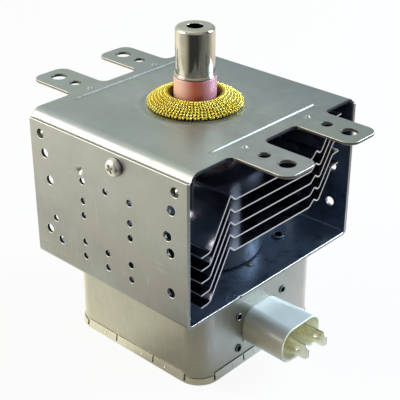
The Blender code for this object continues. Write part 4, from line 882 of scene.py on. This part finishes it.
def makeFins():
    sheet, bore, deep = fins["sheet"], fins["bore"], fins["collar"]
    for index in range(fins["count"]):
        top = fins["top"] + ((fins["count"] - 1) / 2 - index) * fins["pitch"]
        fold = Fold([(x, z + top, bend) for x, z, bend in fins["corners"][::-1]], 5)
        half = fins["depth"] / 2
        hole = ringPath(bore + 0.95, (fold.lengthAt(0), 0), 72)
        corners = ((0, -half), (fold.length, -half), (fold.length, half), (0, half))
        outline = roundedPath([(x, y, 0.3) for x, y in corners], 3)
        bm = flatBlank([outline, hole], sheet, 0.07)
        fold.lay(bm, sheet)
        collar = [(bore + 1.0, 0, 0), (bore, 0, 0.9), (bore, -deep, 0.1), (bore + 0.5, -deep, 0.1),
                  (bore + 0.5, -sheet, 0.4), (bore + 1.0, -sheet, 0)]
        profile = [(r, z + top) for r, z in softProfile(collar)]
        turnedForm(bm, profile[::-1], 72)
        node = "fin_" + str(index + 1)
        addPiece(node + "_sheet", bm, [finSheet, finRim, finSheet, finSheet], node)


# Magnets, seals and antenna

magnet = {
    "radius": 27.2, "bore": 10.5, "height": 12.6, "chamfer": 0.6, "bottoms": (("bottom", 37.9), ("top", 83.6)),
}


def makeMagnets():
    radius, bore, height, chamfer = (magnet[key] for key in ("radius", "bore", "height", "chamfer"))
    for level, bottom in magnet["bottoms"]:
        outline = [(radius - chamfer, height, 0.15), (radius, height - chamfer, 0.15), (radius, chamfer, 0.15),
                   (radius - chamfer, 0, 0.15), (bore, 0, 0.3), (bore, height, 0.3)]
        bm = bmesh.new()
        turnedForm(bm, [(r, z + bottom) for r, z in softProfile(outline, 2)], 96)
        addPiece("magnet_" + level + "_ring", bm, [ferrite], "magnet_" + level, recalc=True)


antenna = {
    "ceramic": 8.15, "ceramicBore": 5.2, "ceramicHeight": 8.7, "ceramicEdge": 0.4,
    "cap": 7.5, "capHeight": 18.6, "capSheet": 0.5, "capEdge": 1.2, "capHole": 3.1, "lip": 0.6, "flare": 0.7,
    "tube": 2.6, "tubeHeight": 15.0, "tubeFoot": 6.6, "tubeTurn": -48,
}


def makeCeramic():
    radius, bore = antenna["ceramic"], antenna["ceramicBore"]
    height, edge = antenna["ceramicHeight"], antenna["ceramicEdge"]
    outline = [(radius, height, edge), (radius, 0, edge), (bore, 0, 0.2), (bore, height, 0.2)]
    bm = bmesh.new()
    turnedForm(bm, [(r, z + ceramicZ) for r, z in softProfile(outline)], 96)
    addPiece("antenna_ceramic_ring", bm, [pinkAlumina], "antenna_ceramic", recalc=True)


def makeCap():
    radius, height, sheet = antenna["cap"], antenna["capHeight"], antenna["capSheet"]
    inside, lip = radius - sheet, radius + antenna["lip"]
    hole, edge = antenna["capHole"], antenna["capEdge"]
    outline = [(hole, height, 0.15), (radius, height, edge), (radius, antenna["flare"], 0.3), (lip, 0.5, 0.15),
               (lip, 0, 0.15), (inside, 0, 0.1), (inside, height - sheet, edge - sheet),
               (hole, height - sheet, 0.1)]
    bm = bmesh.new()
    turnedForm(bm, [(r, z + capZ) for r, z in softProfile(outline, 6)], 96)
    addPiece("antenna_cap_shell", bm, [capSteel], "antenna_cap", recalc=True)


def makeExhaustTube():
    # a copper tube on a round foot, squeezed flat where it was sealed off
    bm = bmesh.new()
    tube, height, foot = antenna["tube"], antenna["tubeHeight"], antenna["tubeFoot"]
    straight = 8.6      # up to here the tube is round
    levels = [(0, foot, 1.0), (0.45, foot, 1.0), (0.5, foot - 0.1, 1.0), (0.62, tube + 0.9, 1.0),
              (0.9, tube + 0.3, 1.0), (1.5, tube, 1.0), (straight, tube, 1.0)]
    for k in range(1, 13):
        share = k / 12
        flat = 1 - 0.88 * (1 - cos(pi * share)) / 2
        levels.append((straight + (height - straight) * share, tube * (1 + 0.15 * share), flat))
    loft(bm, [[Vector((radius * x, radius * y * flat, z + capZ)) for x, y in spokes(40)]
              for z, radius, flat in levels])
    turn = Matrix.Rotation(radians(antenna["tubeTurn"]), 3, "Z")
    bmesh.ops.rotate(bm, cent=(0, 0, 0), matrix=turn, verts=bm.verts)
    addPiece("exhaust_tube_pinched", bm, [darkCopper], "exhaust_tube", recalc=True)


# Knitted gasket

gasket = {
    # radius and height above the plate
    "profile": ((9.9, 1.0), (9.95, 2.8), (10.2, 4.1), (10.9, 4.72), (12.4, 4.30), (14.6, 3.20), (16.6, 2.10),
                (17.9, 1.25), (18.1, 0.80), (17.8, 0.45)),
    "wales": 40, "courses": 10, "pointsPerLoop": 16, "wire": 0.14, "strands": (-0.16, 0.16),
    "overshoot": 0.10, "tall": 0.62, "lift": 0.36, "core": 0.95, "seed": 7,
    "unevenRise": 0.06, "unevenSway": 0.03, "unevenLift": 0.25,     # shares of a loop's height, width and lift
}


def profileLine(points, count=240):
    # the profile as a smooth line with its length measured along it
    fine = []
    for index in range(len(points) - 1):
        p0 = Vector(points[max(index - 1, 0)])
        p1, p2 = Vector(points[index]), Vector(points[index + 1])
        p3 = Vector(points[min(index + 2, len(points) - 1)])
        for step in range(24):
            t = step / 24
            fine.append(0.5 * ((2 * p1) + (p2 - p0) * t + (2 * p0 - 5 * p1 + 4 * p2 - p3) * t * t
                               + (3 * p1 - p0 - 3 * p2 + p3) * t ** 3))
    fine.append(Vector(points[-1]))
    spans = [0.0]
    for first, second in zip(fine, fine[1:]):
        spans.append(spans[-1] + (second - first).length)
    line = []
    at = 0
    for k in range(count + 1):
        goal = spans[-1] * k / count
        while at < len(spans) - 2 and spans[at + 1] < goal:
            at += 1
        share = (goal - spans[at]) / (spans[at + 1] - spans[at])
        line.append(fine[at].lerp(fine[at + 1], share))
    return line, spans[-1]


def makeGasket():
    line, length = profileLine(gasket["profile"])
    count = len(line) - 1

    def onLine(s):
        place = min(max(s / length, 0.0), 1.0) * count
        index = min(int(place), count - 1)
        along = (line[index + 1] - line[index]).normalized()
        return line[index].lerp(line[index + 1], place - index), Vector((-along.y, along.x))

    chance = random.Random(gasket["seed"])
    wales, courses = gasket["wales"], gasket["courses"]
    tall = length / courses
    perLoop = gasket["pointsPerLoop"]
    unevenRise, unevenSway, unevenLift = (gasket["uneven" + way] for way in ("Rise", "Sway", "Lift"))
    curve = bpy.data.curves.new("knit", "CURVE")
    curve.dimensions = "3D"
    curve.bevel_depth = gasket["wire"] * mm
    curve.bevel_resolution = 0

    # a row of loops: their legs stand out, and their heads and feet lie under the next rows
    for course in range(courses):
        middle = (course + 0.5) * tall
        rise = [chance.uniform(-unevenRise, unevenRise) * tall for _ in range(wales)]
        sway = [chance.uniform(-unevenSway, unevenSway) for _ in range(wales)]
        puff = [chance.uniform(1 - unevenLift, 1 + unevenLift) for _ in range(wales)]
        shift = 0.05 * sin(course * 1.3)

        def stitch(k):      # turn in loops, height along the profile and lift at one point of the row
            loop, share = divmod(k % (wales * perLoop), perLoop)
            share /= perLoop
            after = (loop + 1) % wales
            risen, swayed, puffed = (values[loop] * (1 - share) + values[after] * share
                                     for values in (rise, sway, puff))
            turn = k / perLoop + gasket["overshoot"] * sin(4 * pi * share) + swayed + shift
            height = middle + tall * gasket["tall"] * cos(2 * pi * share) + risen
            return turn, height, -gasket["lift"] * cos(4 * pi * share) * puffed

        points = [stitch(k) for k in range(-1, wales * perLoop + 1)]
        for strand in gasket["strands"]:
            thread = []
            for before, here, after in zip(points, points[1:], points[2:]):
                girth = 2 * pi * onLine(here[1])[0].x / wales
                across, along = (after[0] - before[0]) * girth, after[1] - before[1]
                step = strand / hypot(across, along)
                angle = (here[0] - along * step / girth) * 2 * pi / wales
                point, outward = onLine(here[1] + across * step)
                radius, z = point.x + outward.x * here[2], point.y + outward.y * here[2]
                thread.append((radius * cos(angle) * mm, radius * sin(angle) * mm, (z + plateZ) * mm))
            addLoop(curve, thread)
    mesh = curveMesh(curve)
    mesh.materials.clear()
    mesh.materials.append(knitWire)
    mesh.shade_smooth()
    settle(addObject("gasket_knitted_wire", mesh), "gasket")

    bm = bmesh.new()
    inset = gasket["core"]
    outline = []
    for k in range(0, count + 1, 8):
        point, outward = onLine(length * k / count)
        outline.append((point.x - outward.x * inset, point.y - outward.y * inset + plateZ))
    turnedForm(bm, outline, 120)
    addPiece("gasket_core", bm, [shadedKnitCore], "gasket", recalc=True)


# Filter box and cover

box = {
    "size": 70.4, "height": 36.0, "sheet": 0.8, "corner": 8.6, "edge": 1.0, "bottom": 1.0,
    "window": (21.9, 16.5, 6.6), "eyelet": (13.2, 7.4), "eyeletHole": 1.8,
}
cover = {
    "half": 36.05, "sheet": 0.7, "edge": 0.3, "lean": 0.5, "rim": 3.8, "cornerRim": 2.8,
    "slit": 0.7, "slitX": 10.4, "slitFoot": 0.98, "notch": 1.0,
    "pips": (4.3, 17.0), "pipRadius": 0.7, "pipHeight": 0.36,
}
quarterTurn = [pi / 2 * k / 5 for k in range(6)]        # the directions round a rounded edge


def squareRing(size, radius, z, steps=12):
    return [Vector((point.x, point.y, z)) for point in roundedRectangle(size, size, radius, steps)]


def squareShell(outer, inner):
    # a pan or a can: an outer and an inner loft, closed at the far end and joined at the rim
    bm = bmesh.new()
    outside = loft(bm, outer, capStart=False)[0]
    inside = loft(bm, inner, capEnd=False)[-1]
    for k in range(len(outside)):
        after = (k + 1) % len(outside)
        bm.faces.new((inside[k], inside[after], outside[after], outside[k]))
    bmesh.ops.recalc_face_normals(bm, faces=bm.faces)
    return bm


def cylinderForm(bm, radius, start, end, steps=32):
    start, end = Vector(start), Vector(end)
    turn = Vector((0, 0, 1)).rotation_difference(end - start).to_matrix().to_4x4()
    place = Matrix.Translation((start + end) / 2) @ turn
    bmesh.ops.create_cone(bm, cap_ends=True, segments=steps, radius1=radius, radius2=radius,
                          depth=(end - start).length, matrix=place)


def boxForm(bm, low, high, turn=None):
    low, high = Vector(low), Vector(high)
    sizes = Matrix.Diagonal((*(high - low), 1))
    place = (turn or Matrix.Identity(4)) @ Matrix.Translation((low + high) / 2) @ sizes
    bmesh.ops.create_cube(bm, size=1, matrix=place)


def makeBox():
    size, height, sheet = (box[key] for key in ("size", "height", "sheet"))
    corner, edge, bottom = (box[key] for key in ("corner", "edge", "bottom"))
    outer = [squareRing(size, corner, bottom)]
    for turn in quarterTurn:
        drawnIn = edge * (1 - cos(turn))
        outer.append(squareRing(size - 2 * drawnIn, corner - drawnIn, height - edge + edge * sin(turn)))
    inner = [squareRing(size - 2 * sheet, corner - sheet, z) for z in (height - sheet, bottom)]
    cutter = bmesh.new()
    for x, y in cornersAt(*yoke["rivet"]):
        cylinderForm(cutter, yoke["rivetHole"], (x, y, height - 3), (x, y, height + 1))
    cylinderForm(cutter, yoke["shellHole"], (0, 0, height - 3), (0, 0, height + 1), 64)
    front = (-boxHalf - 1, 2 - boxHalf)
    for x, z in cornersAt(*box["eyelet"]):
        cylinderForm(cutter, box["eyeletHole"], *((x, y, connectorZ + z) for y in front))
    window = roundedRectangle(*box["window"], 10)
    loft(cutter, [[Vector((p.x, y, connectorZ + p.y)) for p in window] for y in front[::-1]])
    bmesh.ops.recalc_face_normals(cutter, faces=cutter.faces)
    bm = cutAway(squareShell(outer, inner), cutter)
    addPiece("filter_box_can", bm, [tinnedSteel], "filter_box", 40)


def makeCover():
    half, sheet, edge, rim = (cover[key] for key in ("half", "sheet", "edge", "rim"))
    corner = box["corner"] + 0.3 + sheet
    lean = cover["lean"]        # the gripping tabs lean on the box
    outer = [squareRing(2 * (half - lean), corner - lean, rim)]
    for turn in quarterTurn:
        drawnIn = edge * (1 - cos(turn))
        outer.append(squareRing(2 * half - 2 * drawnIn, corner - drawnIn, edge - edge * sin(turn)))
    inner = [squareRing(2 * (half - sheet), corner - sheet, z) for z in (sheet, rim)]
    straight = half - box["corner"]
    slits = bmesh.new()
    outside, inside = -half - 1, sheet + 0.15 - half
    for quarter in range(4):
        turn = Matrix.Rotation(quarter * pi / 2, 4, "Z")
        for x, width in ((-straight, cover["notch"]), (-cover["slitX"], cover["slit"]),
                         (cover["slitX"], cover["slit"]), (straight, cover["notch"])):
            low, high = (x - width / 2, outside, cover["slitFoot"]), (x + width / 2, inside, rim + 1)
            boxForm(slits, low, high, turn)
    bm = cutAway(squareShell(outer, inner), slits)
    trim = bmesh.new()
    reach = straight + cover["notch"] / 4
    for sideX, sideY in cornersAt(1, 1):
        lowX, highX = sorted((sideX * reach, sideX * (half + 1)))
        lowY, highY = sorted((sideY * reach, sideY * (half + 1)))
        boxForm(trim, (lowX, lowY, cover["cornerRim"]), (highX, highY, rim + 1))
    bm = cutAway(bm, trim)
    pipAt, pipZ = half - lean * 0.45, rim * 0.45
    for along in [side * place for place in cover["pips"] for side in (-1, 1)]:
        for x, y, facing in ((along, -pipAt, "-Y"), (-pipAt, along, "-X"), (pipAt, along, "X")):
            dome(bm, (x, y, pipZ), cover["pipRadius"], cover["pipHeight"], facing, 4, 16)
    addPiece("filter_cover_pan", bm, [coverSteel], "filter_cover", 40)


# Hollow rivets and eyelets

rivets = {"bore": 1.7, "sheet": 0.4, "rim": 0.45, "head": 2.8, "grip": 2.7, "finish": rivetSteel}
eyelets = {"bore": 1.2, "sheet": 0.3, "rim": 0.25, "head": 1.65, "grip": 2.5, "finish": eyeletSteel}


def makeRivet(node, size, place):
    bore, rim, head, grip = size["bore"], size["rim"], size["head"], size["grip"]
    shank, foot = bore + size["sheet"], head * 0.9
    outline = [(bore, rim, 0.35), (head, rim, 0.3), (head, 0, 0.05), (shank, 0, 0), (shank, -grip, 0),
               (foot, -grip, 0.05), (foot, -grip - rim, 0.25), (bore, -grip - rim, 0.2)]
    bm = bmesh.new()
    turnedForm(bm, softProfile(outline, 3), 40)
    for face in bm.faces:       # dark within
        centre = face.calc_center_median()
        if centre.z < rim * 0.6 and centre.xy.length < bore + 0.03:
            face.material_index = 1
    bmesh.ops.transform(bm, matrix=place, verts=bm.verts)
    addPiece(node + "_turned", bm, [size["finish"], shadedRim], node, 50, recalc=True)


def makeRivets():
    for index, (x, y) in enumerate(cornersAt(*yoke["rivet"])):
        makeRivet("box_rivet_" + str(index + 1), rivets, Matrix.Translation((x, y, floorZ + 0.3)))
    for index, (x, z) in enumerate(cornersAt(*box["eyelet"])):
        seat = Matrix.Translation((x, -boxHalf - 0.3, connectorZ + z))
        makeRivet("eyelet_" + str(index + 1), eyelets, seat @ Matrix.Rotation(pi / 2, 4, "X"))


# Connector housing and tabs

connector = {
    "mouth": (23.6, 15.0), "corner": 6.4, "flare": (-2.2, 1.0), "reach": 20.3, "wall": 0.9, "edge": 0.32,
    "floor": 9.0, "back": -34.7, "nub": (-9.1, 10.1, 1.5),
}
tabs = {
    "x": 5.6, "width": 6.3, "sheet": 0.8, "reach": 7.9, "hole": 0.9, "inset": 5.0, "nose": 1.3, "rod": 1.1,
    "rodEnd": -16.1,
}


def makeConnector():
    mouthY = -boxHalf - connector["reach"]
    back = connector["back"]
    width, height = connector["mouth"]
    flareX, flareZ = connector["flare"]
    corner, wall, edge = connector["corner"], connector["wall"], connector["edge"]

    def ring(y, inset, flare):
        wide, high = width + flareX * flare - 2 * inset, height + flareZ * flare - 2 * inset
        outline = roundedRectangle(wide, high, corner - inset, 12)
        return [Vector((point.x, y, connectorZ + point.y)) for point in outline]

    length = back - mouthY
    rings = [ring(back - length * k / 10, 0, 1 - k / 10) for k in range(10)]
    rings += [ring(mouthY + edge - edge * sin(turn), edge * (1 - cos(turn)), 0) for turn in quarterTurn]
    rings += [ring(mouthY + edge - edge * cos(turn), wall - edge + edge * sin(turn), 0)
              for turn in quarterTurn]
    floorY = back - connector["floor"]
    rings += [ring(floorY - 0.8, wall, 0), ring(floorY - 0.25, wall + 0.2, 0), ring(floorY, wall + 0.8, 0)]
    bm = bmesh.new()
    crest = 16      # the ring at which the outside turns into the inside
    loft(bm, rings[:crest + 1], capEnd=False)
    loft(bm, rings[crest:], capStart=False, material=1)
    bmesh.ops.remove_doubles(bm, verts=bm.verts, dist=0.001)
    x, z, radius = connector["nub"]
    nub = [(0, 0.55), (radius * 0.6, 0.53), (radius * 0.9, 0.4), (radius, 0.15), (radius, -0.8), (0, -0.8)]
    seat = Matrix.Translation((x, -boxHalf - 0.02, z)) @ Matrix.Rotation(pi / 2, 4, "X")
    turnedForm(bm, nub, 32, seat)
    materials = [creamPlastic, creamInside]
    addPiece("connector_housing_moulded", bm, materials, "connector_housing", 50,
             recalc=True)


def makeTabs():
    tip = -boxHalf - connector["reach"] - tabs["reach"]
    tail = connector["back"] - connector["floor"] - 0.3
    half, nose = tabs["width"] / 2, tabs["nose"]
    outline = roundedPath([(tip, nose - half, 0.25), (tip + nose, -half, 0.4), (tail, -half, 0),
                           (tail, half, 0), (tip + nose, half, 0.4), (tip, half - nose, 0.25)], 4)
    for side, label in ((-1, "left"), (1, "right")):
        x = side * tabs["x"]
        hole = ringPath(tabs["hole"], (tip + tabs["inset"], 0), 32)
        bm = flatBlank([outline, hole], tabs["sheet"], 0.16, 2)
        for face in bm.faces:
            face.material_index = 1 if face.material_index == 1 else 0
        upright = Matrix(((0, 0, 1, x), (1, 0, 0, 0), (0, 1, 0, connectorZ), (0, 0, 0, 1)))
        bmesh.ops.transform(bm, matrix=upright, verts=bm.verts)
        cylinderForm(bm, tabs["rod"], (x, tail - 2, connectorZ), (x, tabs["rodEnd"], connectorZ), 24)
        addPiece("tab_" + label + "_blade", bm, [tabBrass, tabRim], "tab_" + label)


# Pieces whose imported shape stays, with better finishes

kept = (
    (copper, ("anode", "strap_inner_top", "strap_outer_top", "strap_inner_bottom", "strap_outer_bottom",
              "antenna_wire", "choke_left", "choke_right", "terminal_bar_left", "terminal_bar_right")),
    (sealSteel, ("pole_piece_top", "pole_piece_bottom", "seal_shell_top", "seal_shell_bottom")),
    (tungsten, ("filament", "end_hat_top", "end_hat_bottom", "lead_centre", "lead_side")),
    (whiteAlumina, ("stem_ceramic",)),
    (zincSteel, ("capacitor_carrier",)),
    (brownPlastic, ("capacitor_case",)),
    (ferrite, ("choke_left_core", "choke_right_core")),
)


def dressKept():
    for material, names in kept:
        for name in names:
            for place in nodes[name].material_slots:
                place.material = material


# Studio

studio = {
    "floorHalf": 6.0, "floorColour": (0.80, 0.80, 0.80), "floorWhite": 0.93, "floorMirrored": 0.95,
    # what metal mirrors of the floor, then the room's light on matt surfaces and in metal; the tones of the
    # sides that a place or direction lies on are added up
    "mirroredFloor": {"all": (0.02, 0.02, 0.02), "near": (0.43, 0.42, 0.36), "nearRight": (0.16, 0.29, 0.56),
                      "behind": (0.90, 0.82, 0.72), "left": (0.80, 0.80, 0.69), "right": (0.24, 0.24, 0.22),
                      "frontFar": (0.20, 0.20, 0.20)},
    "room": {"all": (0.06, 0.06, 0.06), "left": (0.72, 0.64, 0.56)},
    "mirroredRoom": {"all": (0.02, 0.02, 0.02), "behind": (0.42, 0.48, 0.46), "leftHalf": (0.30, 0.34, 0.32),
                     "left": (0.40, 0.40, 0.44), "above": (0.30, 0.28, 0.26), "front": (0.34, 0.35, 0.35)},
    "lamps": {
        # name: (place, size, power, colour)
        "key": ((-0.66, 0.60, 0.42), 0.80, 6.4, (1.0, 0.93, 0.86)),
        "side": ((0.78, -0.50, 0.50), 0.50, 16.5, (0.64, 0.80, 1.0)),
    },
    "aim": (0.0, 0.0, 0.06),
}


def facing(wiring, place, direction):       # how far a place or direction points that way, from -1 to 1
    unit = wiring.vector("NORMALIZE", wiring.vector("MULTIPLY", place, (1.0, 1.0, 0.0)))
    return wiring.vector("DOT_PRODUCT", unit, direction, "Value")


def roundLight(wiring, place, tones):       # adds up the tones of the sides that a place or direction lies on
    onward = facing(wiring, place, ahead)
    sideways = facing(wiring, place, leftward)
    rightward = sideways * -1.0
    reach = wiring.vector("LENGTH", place, out="Value")
    near = wiring.step(reach, 0.19, 0.13)
    front = wiring.step(onward, 0.0, -0.8)
    shares = {
        "behind": wiring.step(onward, -0.3, 0.6), "left": wiring.step(sideways, 0.45, 1.0),
        "right": wiring.step(rightward, 0.2, 1.0), "above": wiring.step(wiring.part(place, 2), 0.3, 0.95),
        "leftHalf": wiring.step(sideways, -0.25, 0.25) * wiring.step(onward, 0.0, 0.6),
        "near": near, "nearRight": near * wiring.step(rightward, 0.0, 0.8),
        "front": front, "frontFar": front * wiring.step(reach, 0.5, 0.8),
    }
    total = wiring.node("ShaderNodeCombineXYZ", None, dict(enumerate(tones["all"])))
    for side, tone in tones.items():
        if side != "all":
            sockets = {0: tone, "Scale": shares[side]}
            part = wiring.node("ShaderNodeVectorMath", {"operation": "SCALE"}, sockets)
            total = wiring.vector("ADD", total, part)
    return total


def glow(wiring, kind, tone):       # an Emission or a Background
    return wiring.node("ShaderNode" + kind, None, {"Color": tone, "Strength": 1.0})


def mixed(wiring, share, first, second):
    return wiring.node("ShaderNodeMixShader", None, {0: share, 1: first, 2: second})


def makeFloor():
    bm = bmesh.new()
    bmesh.ops.create_grid(bm, x_segments=2, y_segments=2, size=studio["floorHalf"])
    mesh = bpy.data.meshes.new("floor")
    bm.to_mesh(mesh)
    bm.free()
    floor = addObject("floor", mesh)
    material = bpy.data.materials.new("floor")
    material.use_nodes = True
    wiring = Wiring(material.node_tree)
    wiring.tree.nodes.clear()
    place = wiring.node("ShaderNodeTexCoord", out="Object")
    seen = wiring.ray("Camera") | wiring.ray("Transmission")
    matt = wiring.node("ShaderNodeBsdfDiffuse", None, {"Color": studio["floorColour"]})
    shown = mixed(wiring, seen * studio["floorWhite"], matt, glow(wiring, "Emission", (1, 1, 1)))
    mirrored = glow(wiring, "Emission", roundLight(wiring, place, studio["mirroredFloor"]))
    both = mixed(wiring, wiring.ray("Glossy") * studio["floorMirrored"], shown, mirrored)
    wiring.node("ShaderNodeOutputMaterial", None, {"Surface": both})
    mesh.materials.append(material)
    floor.location.z = -0.0002


def makeWorld():
    world = bpy.data.worlds.new("studio")
    bpy.context.scene.world = world
    world.use_nodes = True
    wiring = Wiring(world.node_tree)
    wiring.tree.nodes.clear()
    direction = wiring.node("ShaderNodeTexCoord", out="Generated")
    soft, inMetal = (glow(wiring, "Background", roundLight(wiring, direction, studio[key]))
                     for key in ("room", "mirroredRoom"))
    unseen = mixed(wiring, wiring.ray("Glossy"), soft, inMetal)
    both = mixed(wiring, wiring.ray("Camera"), unseen, glow(wiring, "Background", (1, 1, 1)))
    wiring.node("ShaderNodeOutputWorld", None, {"Surface": both})


def makeLamps():
    aim = Vector(studio["aim"])
    for name, (place, size, power, tone) in studio["lamps"].items():
        data = bpy.data.lights.new(name, "AREA")
        data.shape = "DISK"
        data.size = size
        data.energy = power
        data.color = tone
        lamp = addObject(name, data)
        lamp.location = place
        lamp.rotation_euler = (aim - Vector(place)).to_track_quat("-Z", "Y").to_euler()


makeCamera()
makeYoke()
makePlate()
for side in (-1, 1):
    makeScrew(side)
print("yoke, mounting plate and screws made")
makeFins()
makeMagnets()
print("fins and magnets made")
makeCeramic()
makeCap()
makeExhaustTube()
makeGasket()
print("antenna and gasket made")
makeBox()
makeCover()
makeRivets()
makeConnector()
makeTabs()
print("filter box and connector made")
dressKept()
makeFloor()
makeWorld()
makeLamps()
bpy.context.scene.view_settings.view_transform = "Standard"
print("studio made")
